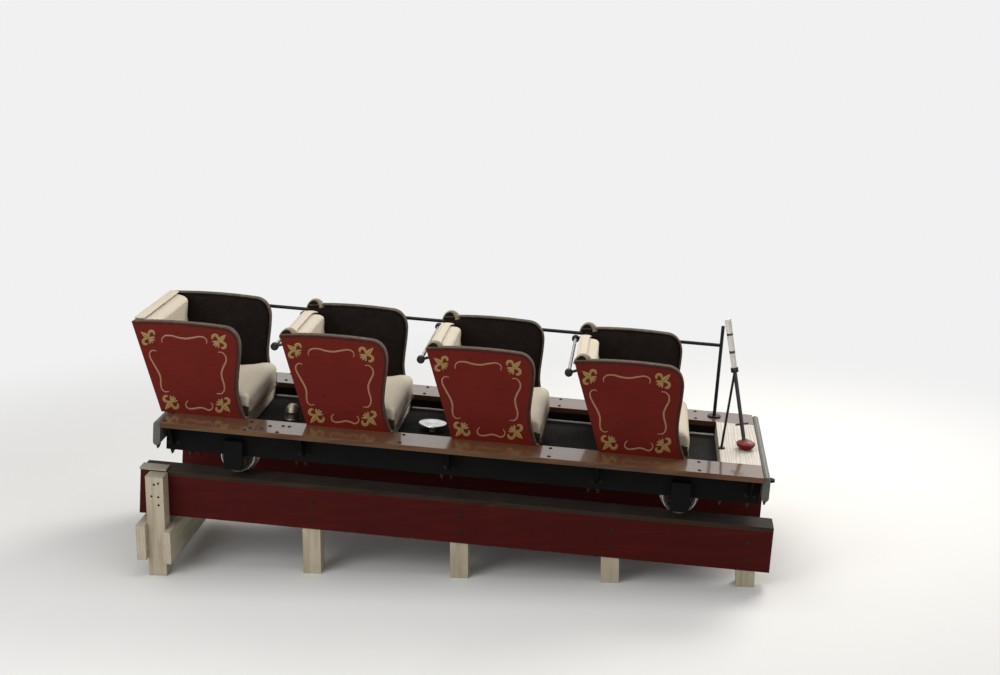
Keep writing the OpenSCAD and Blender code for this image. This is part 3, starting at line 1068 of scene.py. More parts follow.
BUFFER_GREY = Timber(
    "buffer_grey_paint", "grey_paint", (0.105, 0.11, 0.09), second=(0.072, 0.076, 0.062), bare=(0.22, 0.21, 0.18),
    grain=Grain.ACROSS, rough=0.5, coat=0.05, wear=0.6, dust=0.2, figure=0.8, specular=0.2, round_edge=0.002,
)
FRAME_BLACK = Enamel(
    "chassis_black_paint", "black_steel", (0.0045, 0.0042, 0.0040), under=(0.024, 0.015, 0.010), rough=0.62, coat=0.0,
    wear=0.3, dust=0.03, specular=0.07,
)
RAIL_BLACK = Enamel(
    "rail_black_enamel", "black_steel", (0.007, 0.0065, 0.007), under=(0.10, 0.09, 0.085), rough=0.38, coat=0.0,
    wear=0.3, dust=0.01, specular=0.22, round_edge=0.001,
)
BAR_COAT = BarCoat("grab_bar_steel_and_black", "black_steel", (0.007, 0.0065, 0.007))
AXLE_STEEL = Metal("axle_worn_steel", "worn_steel", (0.32, 0.31, 0.3), tarnish=(0.10, 0.065, 0.045), rough=0.4)
# Near-black velvet of the linings and ears: the linings' colour is partly their own dark cloth and partly painted shade
# of faces turned from the light; the ears' dark is painted shade.
DARK_VELVET_AND_SHADE = Velvet(
    "dark_brown_velvet", "dark_velvet", (0.0115, 0.0075, 0.0055), rubbed=(0.026, 0.018, 0.0135), sheen=0.05,
)
BEIGE_VELVET = Velvet(
    "beige_velvet", "beige_velvet", (0.50, 0.435, 0.32), rubbed=(0.60, 0.535, 0.42), sheen=0.2, patch=0.4,
)
# Dark taupe of the edge rolls and piping is partly painted shade; its pale rubbed patches are partly real rubbing and
# partly painted highlight.
ROLL_VELVET_SHADE_AND_HIGHLIGHT = Velvet(
    "taupe_roll_velvet", "beige_velvet", (0.082, 0.064, 0.046), rubbed=(0.25, 0.205, 0.155), sheen=0.15, patch=0.6,
)
# Beige of the ear rolls: painted light, the sunlit rim of an ear whose inner face is in shade.
EAR_ROLL_PAINTED_LIGHT = Velvet(
    "beige_ear_velvet", "beige_velvet", (0.25, 0.21, 0.15), rubbed=(0.42, 0.365, 0.28), sheen=0.2, patch=0.5,
)
# Near-black velvet for the dark band along each panel's edge, and for the seat end plates, where it is painted shade.
DARK_BAND_AND_SHADE = Velvet("dark_gimp_tape", "dark_velvet", (0.03, 0.016, 0.012), rubbed=(0.06, 0.035, 0.025), sheen=0.1)
PEDESTAL_RED = Enamel(
    "pedestal_red_enamel", "pedestal_red", (0.19, 0.007, 0.005), under=(0.05, 0.03, 0.02), rough=0.42, coat=0.05,
    wear=0.6, specular=0.14,
)
BRIGHT_PLATE = Metal(
    "bright_tread_plate", "bright_metal", (0.78, 0.78, 0.77), tarnish=(0.35, 0.34, 0.33), rough=0.25, spots=0.4,
)
BRASS = Metal("dull_brass", "brass", (0.50, 0.45, 0.33), tarnish=(0.24, 0.21, 0.15), rough=0.4, spots=0.55)
BOLT_STEEL = Metal("bolt_head_steel", "worn_steel", (0.028, 0.025, 0.023), tarnish=(0.016, 0.012, 0.010), rough=0.55)
# Pale board colour: partly bare wood, partly painted sunlight where the stand's rear end is lit.
CAP_END = Timber(
    "cap_end_pale_board", "pale_boards", (0.40, 0.35, 0.28), second=(0.28, 0.24, 0.185), bare=(0.2, 0.15, 0.1),
    rough=0.65, wear=0.5, dust=0.1,
)


# The car's seats


@dataclass(frozen=True)
class SeatShape:
    """Sizes that every bench shares, in millimetres from the foot of its sides, and where the four feet are."""

    feet: tuple[float, ...] = (-10.0, 950.0, 1900.0, 2850.0)
    panel_out: float = 498.0
    panel_in: float = 473.0
    lining_in: float = 443.0
    nose_x: float = 588.0
    base_front: float = 552.0
    cushion_h: float = 150.0
    board_top: float = 62.0
    pad_rear: float = 22.0
    pad_t: float = 46.0
    pad_foot: float = 80.0
    pad_face_x: float = -76.0
    crown_drop: float = 38.0

    def corner(self, first: bool) -> tuple[float, float]:
        """Rear top corner of the side: the rear bench's is a little further out."""
        return (-212.0, 585.0) if first else (-205.0, 580.0)

    def top_edge(self, first: bool) -> Array:
        """The side's top edge from the rear corner to the shoulder: one cubic curve."""
        corner = self.corner(first)
        return bezier([list(corner), [0, 606], [200, 608], [393, 597]], 24)

    def front_edge(self) -> Array:
        """The side's front edge from the shoulder down: round shoulder, bulge, waist and flared foot.

        Returns:
            X and Z of its points.
        """
        parts = [
            bezier([[393, 597], [455, 592], [494, 545], [497, 470]], 16),
            bezier([[497, 470], [499, 370], [486, 300], [487, 215]], 12),
            bezier([[487, 215], [490, 130], [520, 60], [547, 0]], 12),
        ]
        return np.vstack([parts[0][1:], parts[1][1:], parts[2][1:]])

    def side_edge(self, first: bool, n: int) -> Array:
        """Top and front edge as one evenly stepped line."""
        return evenly(np.vstack([self.top_edge(first), self.front_edge()]), n)

    def lean(self, first: bool) -> float:
        """Lean of the back in radians."""
        x, z = self.corner(first)
        return math.atan2(-x, z)

    def crowned(self, first: bool, y: Array, height: float) -> Array:
        """A back's top line across the car: level on the rear bench, else falling in a curve towards the ears.

        Args:
            first: the rear bench.
            y: distances from the middle.
            height: its height in the middle.

        Returns:
            Heights.
        """
        if first:
            return np.full_like(y, height)
        w = self.lining_in
        curve = bezier([[w, self.crown_drop], [w - 70, 17], [w - 150, 0], [w - 270, 0]], 20)[::-1]
        return height - np.interp(abs(y), curve[:, 0], curve[:, 1])

    def pad_top(self, first: bool) -> float:
        """Height of the back pad's top in the middle."""
        return 597.0 if first else 571.0

    def pad_faces(self, first: bool, z: Array) -> tuple[Array, Array]:
        """X of the pad's rear and front at a height: the rear lies on the leaning board, and the front leans with
        it up to the height where it meets a plumb face.

        Args:
            first: whether it is the rear bench.
            z: heights.

        Returns:
            X of both faces at each height.
        """
        lean = self.lean(first)
        rear = self.pad_rear / math.cos(lean) - z * math.tan(lean)
        front = (self.pad_rear + self.pad_t) / math.cos(lean) - z * math.tan(lean)
        return rear, self.pad_face_x + np.logaddexp(0, (front - self.pad_face_x) / 7) * 7


SHAPE = SeatShape()


@dataclass
class Inflation:
    """Cloth simulation that swells a closed pad."""

    voxel: float = 0.009
    pressure: float = 4.0
    frames: int = 20
    cap: float = 0.014
    stretch: float = 12.0
    shear: float = 6.0
    bend: float = 0.6
    weight: float = 0.3

    def swell(self, obj: Solid, keep: Callable[[Array], Array]) -> None:
        """Remeshes the pad, swells it as cloth, caps how far it moved, and applies the result.

        Args:
            obj: the closed pad.
            keep: takes the points in the frame's metres, and returns them inside the space that the pad has.
        """
        remesh = obj.modifiers.new("even_faces", "REMESH")
        remesh.mode = "VOXEL"
        remesh.voxel_size = self.voxel
        self.apply(obj)
        start = self.points(obj)
        cloth = obj.modifiers.new("swell", "CLOTH")
        s = cloth.settings
        s.quality = 5
        s.mass = self.weight
        s.tension_stiffness = s.compression_stiffness = self.stretch
        s.shear_stiffness = self.shear
        s.bending_stiffness = self.bend
        s.use_pressure = True
        s.uniform_pressure_force = self.pressure
        s.effector_weights.gravity = 0.0
        cloth.point_cache.frame_start = 1
        cloth.point_cache.frame_end = self.frames
        for step in range(1, self.frames + 1):
            bpy.context.scene.frame_set(step)
        self.apply(obj)
        bpy.context.scene.frame_set(1)
        move = self.points(obj) - start
        far = np.linalg.norm(move, axis=1, keepdims=True)
        move *= np.minimum(1.0, self.cap / np.maximum(far, 1e-9))
        self.store(obj, keep(start + move))

    @staticmethod
    def apply(obj: Solid) -> None:
        """Applies every modifier of a piece.

        Args:
            obj: the piece.
        """
        bpy.context.view_layer.update()
        made = bpy.data.meshes.new_from_object(obj.evaluated_get(bpy.context.evaluated_depsgraph_get()))
        old, obj.data = obj.data, made
        obj.modifiers.clear()
        bpy.data.meshes.remove(old)
        made.name = obj.name

    @staticmethod
    def points(obj: Solid) -> Array:
        """A mesh's points as an array.

        Args:
            obj: a mesh object.

        Returns:
            X, Y and Z of its points in metres.
        """
        co = np.empty(len(obj.data.vertices) * 3, np.float32)
        obj.data.vertices.foreach_get("co", co)
        return co.reshape(-1, 3).astype(float)

    @staticmethod
    def store(obj: Solid, points: Array) -> None:
        """Puts an array of points back into a mesh."""
        obj.data.vertices.foreach_set("co", points.astype(np.float32).ravel())
        obj.data.update()


@dataclass
class Upholstery:
    """Cushions, pads, linings, rolls and trims of the four benches."""

    shape: SeatShape = SHAPE
    roll_r: float = 6.5
    roll_half: float = 29.5
    back_roll_half: tuple[float, float] = (8.0, 33.0)
    ear_x0: float = -2.0
    ear_l: float = 118.0
    ear_y: float = 461.0
    ear_half: float = 21.0
    ear_roll_r: tuple[float, float] = (5.0, 20.0)
    band_half: tuple[float, float] = (5.5, 1.6)
    cord_r: float = 3.2
    lining_round: float = 0.86

    def cushion_profile(self) -> Array:
        """Outline of the bench cushion, a few millimetres inside its solid: sloping top, bull nose, and a front
        that goes on down to the planks, in front of the seat board.

        Returns:
            X and Z of its points, evenly spaced.
        """
        z0, h, board, nose = self.shape.board_top, self.shape.cushion_h, self.shape.base_front, self.shape.nose_x
        top = bezier([[66, z0 + 46], [240, z0 + 50], [380, z0 + 62], [470, h - 10]], 14)
        roll = bezier([[470, h - 10], [nose - 54, h + 4], [nose - 9, h - 8], [nose - 8, 104]], 14)
        front = bezier([[nose - 8, 104], [nose - 9, 70], [nose - 14, 40], [nose - 18, 6]], 8)
        inside = [[board + 4, 6], [board + 4, z0 + 3], [300, z0 + 3], [84, z0 + 3]]
        return evenly(np.vstack([[[84, z0 + 3]], top, roll[1:], front[1:], inside]), 150)[:-1]

    def cushion(self) -> Shell:
        """The cushion before it swells: its profile carried across, drawn in towards rounded ends.

        Formula: at share v of the half width, the profile shrinks towards its middle by 1 - (1 - |v|^24)^(1/3).

        Returns:
            The closed shell.
        """
        profile = self.cushion_profile()
        v = np.sin(np.linspace(-np.pi / 2, np.pi / 2, 61))
        shrink = np.maximum(np.clip(1 - abs(v) ** 24, 0, 1) ** (1 / 3), 0.3)[:, None]
        middle = np.array([320.0, 100.0])
        x = middle[0] + (profile[None, :, 0] - middle[0]) * (0.93 + 0.07 * shrink)
        z = middle[1] + (profile[None, :, 1] - middle[1]) * (0.45 + 0.55 * shrink)
        return across((self.shape.lining_in - 7) * v, x, z)

    def seat_dents(self, car: Array, seed: int) -> Array:
        """The cushion's top pressed by use: two broad hollows and slow unevenness, fading towards the sides.

        Args:
            car: the cushion's points.
            seed: chooses the unevenness.

        Returns:
            The pressed points.
        """
        x, y, z = car.T
        hollow = sum(np.exp(-(((x - 300) / 130) ** 2) - ((y - s) / 150) ** 2) for s in (-215, 215))
        top = np.clip((z - 95) / 25, 0, 1)
        lift = -7.0 * hollow * top + 1.8 * top * smooth_noise(car, 240.0, seed)
        return car + np.stack([0 * z, 0 * z, lift], 1)

    def pad_waves(self, car: Array, seed: int) -> Array:
        """The back pad's slow unevenness, along the car."""
        return car + 1.2 * smooth_noise(car, 260.0, seed)[:, None] * np.array([1.0, 0, 0])

    def keep_cushion(self, metres: Array) -> Array:
        """Keeps the cushion between the linings, behind its nose, and below the board's top only in front of it.

        Args:
            metres: points in the frame.

        Returns:
            The limited points.
        """
        w, car = self.shape.lining_in - 1, AXES.unplace(metres)
        car[:, 1] = np.clip(car[:, 1], -w, w)
        car[:, 0] = np.clip(car[:, 0], 58, self.shape.nose_x + 3)
        low = np.where(car[:, 0] > self.shape.base_front + 1, 3.0, self.shape.board_top + 0.5)
        car[:, 2] = np.maximum(car[:, 2], low)
        return AXES.place(car)

    def back_pad(self, first: bool) -> Shell:
        """The back pad before it swells: a wedge with a flat rear sheet on the board and a front one that rounds
        back to it along its edges.

        Formula: on a grid of shares u across and v up, depth = (1 - |u|^20)^(1/3) times (1 - |v|^16)^(1/3).

        Args:
            first: whether it is the rear bench.

        Returns:
            The closed shell.
        """
        s = self.shape
        u = np.sin(np.linspace(-np.pi / 2, np.pi / 2, 71))[:, None]
        v = np.sin(np.linspace(-np.pi / 2, np.pi / 2, 61))[None, :]
        y = np.broadcast_to((s.lining_in - 8) * u, (71, 61))
        low = s.pad_foot + 12
        z = low + (s.crowned(first, y, s.pad_top(first) - 4) - low) * (v + 1) / 2
        rear, front = s.pad_faces(first, z)
        depth = (np.clip(1 - abs(u) ** 20, 0, 1) * np.clip(1 - abs(v) ** 16, 0, 1)) ** (1 / 3)
        sheets = [np.stack([rear + 3 + reach * depth, y, z], -1) for reach in (front - rear - 7, 0.02 * (front - rear))]
        return skin(np.concatenate([sheets[0], sheets[1][:, ::-1]], 1))

    def keep_back(self, first: bool) -> Callable[[Array], Array]:
        """Keeps the back pad in front of its board and between the linings.

        Args:
            first: whether it is the rear bench.

        Returns:
            The function that limits its points.
        """
        s = self.shape

        def keep(metres: Array) -> Array:
            """Limits the distance in front of the board, the height and the width.

            Args:
                metres: points in the frame.

            Returns:
                The limited points.
            """
            car = AXES.unplace(metres)
            rear, front = s.pad_faces(first, car[:, 2])
            car[:, 0] = np.clip(car[:, 0], rear + 0.5, front + 8)
            car[:, 1] = np.clip(car[:, 1], 1 - s.lining_in, s.lining_in - 1)
            car[:, 2] = np.minimum(car[:, 2], s.crowned(first, car[:, 1], s.pad_top(first) + 5))
            return AXES.place(car)

        return keep

    def wing(self, first: bool) -> Shell:
        """Padded lining inside a side: rays from its middle to the side's outline, closed against the panel.

        Formula: at share r of a ray, the pad's depth = 27 mm * (1 - ((r - 0.86) / 0.14)^2)^0.5 past r = 0.86,
        with a slow swell of 5 mm towards the middle. Rear and foot, where back and seat meet it, stay square.

        Args:
            first: whether it is the rear bench.

        Returns:
            The closed shell of the left side's lining.
        """
        s, r0 = self.shape, self.lining_round
        foot = np.array([[540.0, 2.0], [20.0, 2.0]])
        edge = evenly(np.vstack([s.side_edge(first, 110), foot, [np.array(s.corner(first))]]), 181)[:-1]
        middle = np.array([170.0, 320.0])
        r = np.concatenate([np.linspace(0.03, r0, 22), r0 + (1 - r0) * np.sin(np.linspace(0, np.pi / 2, 10))[1:]])
        flat = middle + (edge[None] - middle) * (r[:, None, None] * 0.994)
        fall = np.sqrt(np.clip(1 - (np.clip(r - r0, 0, None) / (1 - r0)) ** 2, 0, 1))[:, None]
        before = edge[:, 0] * math.cos(s.lean(first)) + edge[:, 1] * math.sin(s.lean(first))
        soft = np.clip((before - 8) / 50, 0, 1) * np.clip((edge[:, 1] - 4) / 40, 0, 1)
        fall = 1 - soft[None] * (1 - fall)
        depth = (s.panel_in - s.lining_in - 3) * fall + 5 * (1 - r[:, None] ** 2) * fall
        depth = depth + 0.8 * smooth_noise(np.concatenate([flat, 0 * flat[..., :1]], -1), 210.0, 5) * fall
        inner = np.stack([flat[..., 0], s.panel_in - depth, flat[..., 1]], -1)
        outer = np.stack([flat[::-3, :, 0], np.full_like(flat[::-3, :, 0], s.panel_in - 0.4), flat[::-3, :, 1]], -1)
        return skin(np.concatenate([inner, outer]))

    def ear_line(self, n: int = 40) -> Array:
        """The ear's rounded outline from its rear foot over its top to its front foot.

        Args:
            n: number of points.

        Returns:
            X and Z of its points.
        """
        x, z = self.shape.corner(False)
        x, z = x + self.ear_x0, z - 26
        return evenly(bezier([[x, z], [x + 6, z + 76], [x + self.ear_l - 22, z + 98], [x + self.ear_l, z + 14]], 30), n)

    def ear(self) -> Shell:
        """A lens-shaped padded lobe behind the shoulder.

        Formula: rings of its outline shrink towards its middle by sin(t)^0.55 as it bulges to both sides by cos(t).

        Returns:
            The closed shell of the left ear.
        """
        line = self.ear_line()
        outline = np.vstack([line, evenly(np.vstack([line[-1], line[0]]), 16)[1:-1]])
        middle = outline.mean(0)
        t = np.linspace(0.04, np.pi - 0.04, 21)
        flat = middle + (outline[None] - middle) * (np.sin(t) ** 0.55)[:, None, None]
        return across(self.ear_y - self.ear_half * np.cos(t), flat[..., 0], flat[..., 1])

    def side_roll(self, first: bool) -> Shell:
        """Velvet roll wrapped over the side's top and front edge, from the rear corner to the foot.

        Args:
            first: whether it is the rear bench.

        Returns:
            The closed shell of the left side's roll.
        """
        path = self.shape.side_edge(first, 150) - [0, 1.5]
        y = (self.shape.lining_in + self.shape.panel_out) / 2 - 3
        wave = 1 + 0.03 * smooth_noise(np.stack([path[:, 0], path[:, 1], 0 * path[:, 0]], 1), 130.0, 3)
        return carried(path, oval(self.roll_r, self.roll_half, 20, 2.4), y, closing(150, 0.012) * wave)

    def ear_roll(self) -> Shell:
        """Velvet roll over an ear: slim behind, and broad where it comes down in front; its beige is painted light, the
        sunlit rim of a dark ear.

        Formula: radius = 5 + 15 mm * smooth step of the share of the way, and the path lies that much further in.

        Returns:
            The closed shell of the left ear's roll.
        """
        path, (slim, broad) = self.ear_line(60), self.ear_roll_r
        t = np.clip((np.linspace(0, 1, 60) - 0.4) / 0.45, 0, 1)
        high = slim + (broad - slim) * t * t * (3 - 2 * t)
        inner = path - outward(path) * (high[:, None] - slim)
        size = closing(60, 0.05)
        return carried(inner, oval(1, 1, 18, 2.3), self.ear_y, np.stack([high * size, (self.ear_half + 2) * size], 1))

    def gimp(self, first: bool) -> Shell:
        """Dark band on the panel's painted face, under the roll, along its top and front edge.

        Args:
            first: whether it is the rear bench.

        Returns:
            The closed shell of the left side's tape.
        """
        path = self.shape.side_edge(first, 130)
        path = (path - 2 * self.band_half[0] * outward(path))[1:-1]
        return carried(path, oval(*self.band_half, 8), self.shape.panel_out + 0.4, closing(128, 0.006))

    def back_roll(self, first: bool) -> Shell:
        """Flat velvet roll over the back board's top edge and the pad's rear edge.

        Args:
            first: whether it is the rear bench.

        Returns:
            The closed shell.
        """
        s = self.shape
        y = np.linspace(-1, 1, 80) * (s.lining_in - 3)
        up = s.crowned(first, y, s.pad_top(first) - 3)
        rear, _ = s.pad_faces(first, up)
        section, size = oval(*self.back_roll_half, 20, 2.6), closing(80, 0.015)[:, None]
        x = rear[:, None] + 11 + section[None, :, 1] * size
        return across(y, x, up[:, None] + 2 + section[None, :, 0] * size)

    def seat_ends(self) -> Shell:
        """Dark plates on both ends of the seat's lower part, behind its front, a thin upright one each: painted shade
        where the seat's ends lie in shade.
        """
        path = np.stack([np.linspace(430, self.shape.nose_x - 24, 20), np.full(20, 37.0)], 1)
        return carried(path, oval(33, 2.5, 12, 6), self.shape.lining_in + 0.5).both()

    def piping(self) -> Shell:
        """Thin cord sewn along the seat front's lower edge.

        Returns:
            The closed shell.
        """
        y = np.linspace(-1, 1, 60) * (self.shape.lining_in - 4)
        ring, size = oval(self.cord_r, self.cord_r, 10), closing(60, 0.02)[:, None]
        return across(y, self.shape.nose_x - 13 + ring[None, :, 0] * size, 6 + ring[None, :, 1] * size)

    def build(self) -> None:
        """Builds and finishes the upholstery of the four benches."""
        still = self.swollen("cushion_form", self.cushion(), self.keep_cushion)
        pads = {first: self.swollen("pad_form", self.back_pad(first), self.keep_back(first)) for first in (True, False)}
        for i, foot in enumerate(self.shape.feet):
            seat, first = f"seat{i + 1}", i == 0
            cushion = self.copied(f"{seat}_bench_cushion", still, foot, lambda car, k=i: self.seat_dents(car, k))
            self.padded(cushion, BEIGE_VELVET, 0.8, f"{seat}_cushion")
            pad = self.copied(f"{seat}_back_cushion", pads[first], foot, lambda car, k=i: self.pad_waves(car, 20 + k))
            self.padded(pad, BEIGE_VELVET, 0.7, f"{seat}_back_pad")
            # Linings near-black: partly their own dark cloth, partly painted shade.
            wings = make_mesh(f"{seat}_wing_linings", self.wing(first).both().moved(x=foot))
            self.padded(wings, DARK_VELVET_AND_SHADE, 0.5, f"{seat}_linings")
            # Edge rolls: dark taupe, partly painted shade, with partly painted highlight.
            soft = [("edge_rolls", self.side_roll(first).both(), ROLL_VELVET_SHADE_AND_HIGHLIGHT, 0.9)]
            soft += [("back_roll", self.back_roll(first), BEIGE_VELVET, 0.9)]
            if not first:
                # Ears: dark lobes in painted shade, under beige rolls in painted light.
                ears = [("ears", self.ear().both(), DARK_VELVET_AND_SHADE, 0.7)]
                soft = ears + [("ear_rolls", self.ear_roll().both(), EAR_ROLL_PAINTED_LIGHT, 0.9)] + soft
            for name, shell, finish, fill in soft:
                self.padded(make_mesh(f"{seat}_{name}", shell.moved(x=foot)), finish, fill)
            # Seat end plates: painted shade.
            trims = [("seat_ends", self.seat_ends(), DARK_BAND_AND_SHADE), ("piping", self.piping(), ROLL_VELVET_SHADE_AND_HIGHLIGHT)]
            for name, shell, finish in trims + [("gimp", self.gimp(first).both(), DARK_BAND_AND_SHADE)]:
                finish_piece(make_mesh(f"{seat}_{name}", shell.moved(x=foot)), finish)
        for form in [still, *pads.values()]:
            bpy.data.objects.remove(form)

    @staticmethod
    def swollen(name: str, shell: Shell, keep: Callable[[Array], Array]) -> Solid:
        """A swollen form that the benches' own pieces are copied from.

        Args:
            name: the form's name.
            shell: the closed pad.
            keep: limits its points to the space that it has.

        Returns:
            The form.
        """
        obj = make_mesh(name, shell)
        Inflation().swell(obj, keep)
        return obj

    @staticmethod
    def copied(name: str, form: Solid, foot: float, press: Callable[[Array], Array]) -> Solid:
        """A bench's own copy of a form, pressed by use and moved to its place along the car.

        Args:
            name: the piece's name.
            form: the swollen form.
            foot: the bench's place along the car.
            press: changes points in car millimetres.

        Returns:
            The piece.
        """
        obj = placed(name, form.data.copy())
        car = press(AXES.unplace(Inflation.points(form))) + np.array([foot, 0, 0])
        Inflation.store(obj, AXES.place(car))
        return obj

    @staticmethod
    def padded(obj: Solid, finish: Finish, fill: float, *nodes: str) -> None:
        """Finishes a padded piece, which may stand for CAD nodes."""
        finish_piece(obj, finish, *nodes, crease=80)


@dataclass
class Ornament:
    """Traditional scrollwork on the sides: four curled bracket lines and a lily at each corner."""

    shape: SeatShape = SHAPE
    lift: float = 0.9
    line_w: float = 5.4
    lily_r: float = 59.0

    def lines(self) -> list[list[tuple[float, float]]]:
        """Points that the four lines pass through.

        Returns:
            X and Z from the bench's foot: the top, rear, front and foot line.
        """
        return [
            [
                (-7, 462), (-10, 486), (12, 509), (55, 513), (98, 505), (151, 503), (198, 514), (244, 524), (274, 517),
                (286, 499), (283, 479),
            ],
            [
                (-44, 401), (-68, 405), (-87, 386), (-83, 356), (-56, 310), (-26, 262), (-11, 224), (-8, 180),
                (1, 149), (24, 134), (47, 141),
            ],
            [
                (360, 431), (387, 432), (411, 410), (416, 377), (400, 336), (389, 296), (396, 256), (408, 222),
                (412, 186), (396, 158), (362, 154),
            ],
            [
                (175, 90), (161, 68), (166, 45), (191, 35), (229, 42), (257, 49), (287, 45), (315, 37), (336, 51),
                (338, 74), (325, 91),
            ],
        ]

    def lilies(self) -> list[tuple[float, float, float, float]]:
        """Each lily's middle, the direction of its point in degrees, and its size."""
        return [(-94, 485, 147, 0.95), (362, 500, 48, 0.98), (401, 84, -39, 1.0), (64, 72, -124, 1.0)]

    def stroke(self, path: Array, half: Array) -> Shell:
        """One brush stroke: a low rounded ribbon on the panel's face.

        Formula: across the stroke at share b of its half width, height = lift * (1 - b^2), and flat behind.

        Args:
            path: X and Z of its points.
            half: its half width at each point.

        Returns:
            The closed shell, with the mark "rim" that is 1 at its edges.
        """
        b = np.array([-1.0, -0.55, 0.0, 0.55, 1.0, 0.7, -0.7])
        up = np.array([0.0, 0.7, 1.0, 0.7, 0.0, -0.4, -0.4]) * self.lift
        off, out = half[:, None] * b[None], outward(path)
        y = np.broadcast_to(-self.shape.panel_out - up[None], off.shape)
        grid = np.stack([path[:, :1] + out[:, :1] * off, y, path[:, 1:] + out[:, 1:] * off], -1)
        return skin(grid, {"rim": np.array(np.broadcast_to(abs(b)[None], off.shape))})

    def bracket(self, points: list[tuple[float, float]], n: int = 44) -> Shell:
        """A bracket line: full in its middle, fine at its curled ends."""
        half = self.line_w * (0.35 + 0.65 * np.sin(np.linspace(0.04, np.pi - 0.04, n)) ** 0.6)
        return self.stroke(through(points, n), half)

    def lily(self, x: float, z: float, turn: float, size: float) -> list[Shell]:
        """A lily of one pointed petal, two broad curled side petals and four short rounded rear ones.

        Formula: at share t of a petal, its half width = breadth * sin(pi t^power)^sharpness.

        Args:
            x: its middle along the car.
            z: its middle's height.
            turn: the direction of its point in degrees.
            size: its size.

        Returns:
            A stroke for each petal.
        """
        r, both = self.lily_r * size, (1, -1)
        curl = [(0, 0.05), (0.3, 0.36), (0.36, 0.72), (0.08, 0.92), (-0.2, 0.8), (-0.22, 0.62)]
        petals = [
            ([(-0.1, 0), (0.3, 0.0), (0.75, 0.0), (1.2, 0.0)], 0.25, 0.8, 1.0, (1,)),
            (curl, 0.155, 1.25, 0.55, both),
            ([(0.0, 0.03), (-0.3, 0.09), (-0.7, 0.16)], 0.098, 1.25, 0.5, both),
            ([(0, 0.06), (-0.24, 0.26), (-0.52, 0.5)], 0.098, 1.25, 0.5, both),
        ]
        c, s = math.cos(math.radians(turn)), math.sin(math.radians(turn))
        strokes = []
        t = np.linspace(0.03, 0.985, 14)
        for points, wide, power, sharp, sides in petals:
            half = np.maximum(wide * r * np.sin(np.pi * t**power) ** sharp, 0.4)
            for side in sides:
                line = through(points, 14) * [1, side] * r
                flat = np.stack([x + line[:, 0] * c - line[:, 1] * s, z + line[:, 0] * s + line[:, 1] * c], 1)
                strokes.append(self.stroke(flat, half))
        return strokes

    def build(self) -> None:
        """Paints the lines and lilies on both sides of every bench."""
        lines = Shell.joined([self.bracket(p) for p in self.lines()]).both()
        lilies = Shell.joined([s for lily in self.lilies() for s in self.lily(*lily)]).both()
        for i, foot in enumerate(self.shape.feet):
            finish_piece(make_mesh(f"seat{i + 1}_scroll_lines", lines.moved(x=foot)), CREAM_LINE)
            finish_piece(make_mesh(f"seat{i + 1}_lilies", lilies.moved(x=foot)), GOLD)


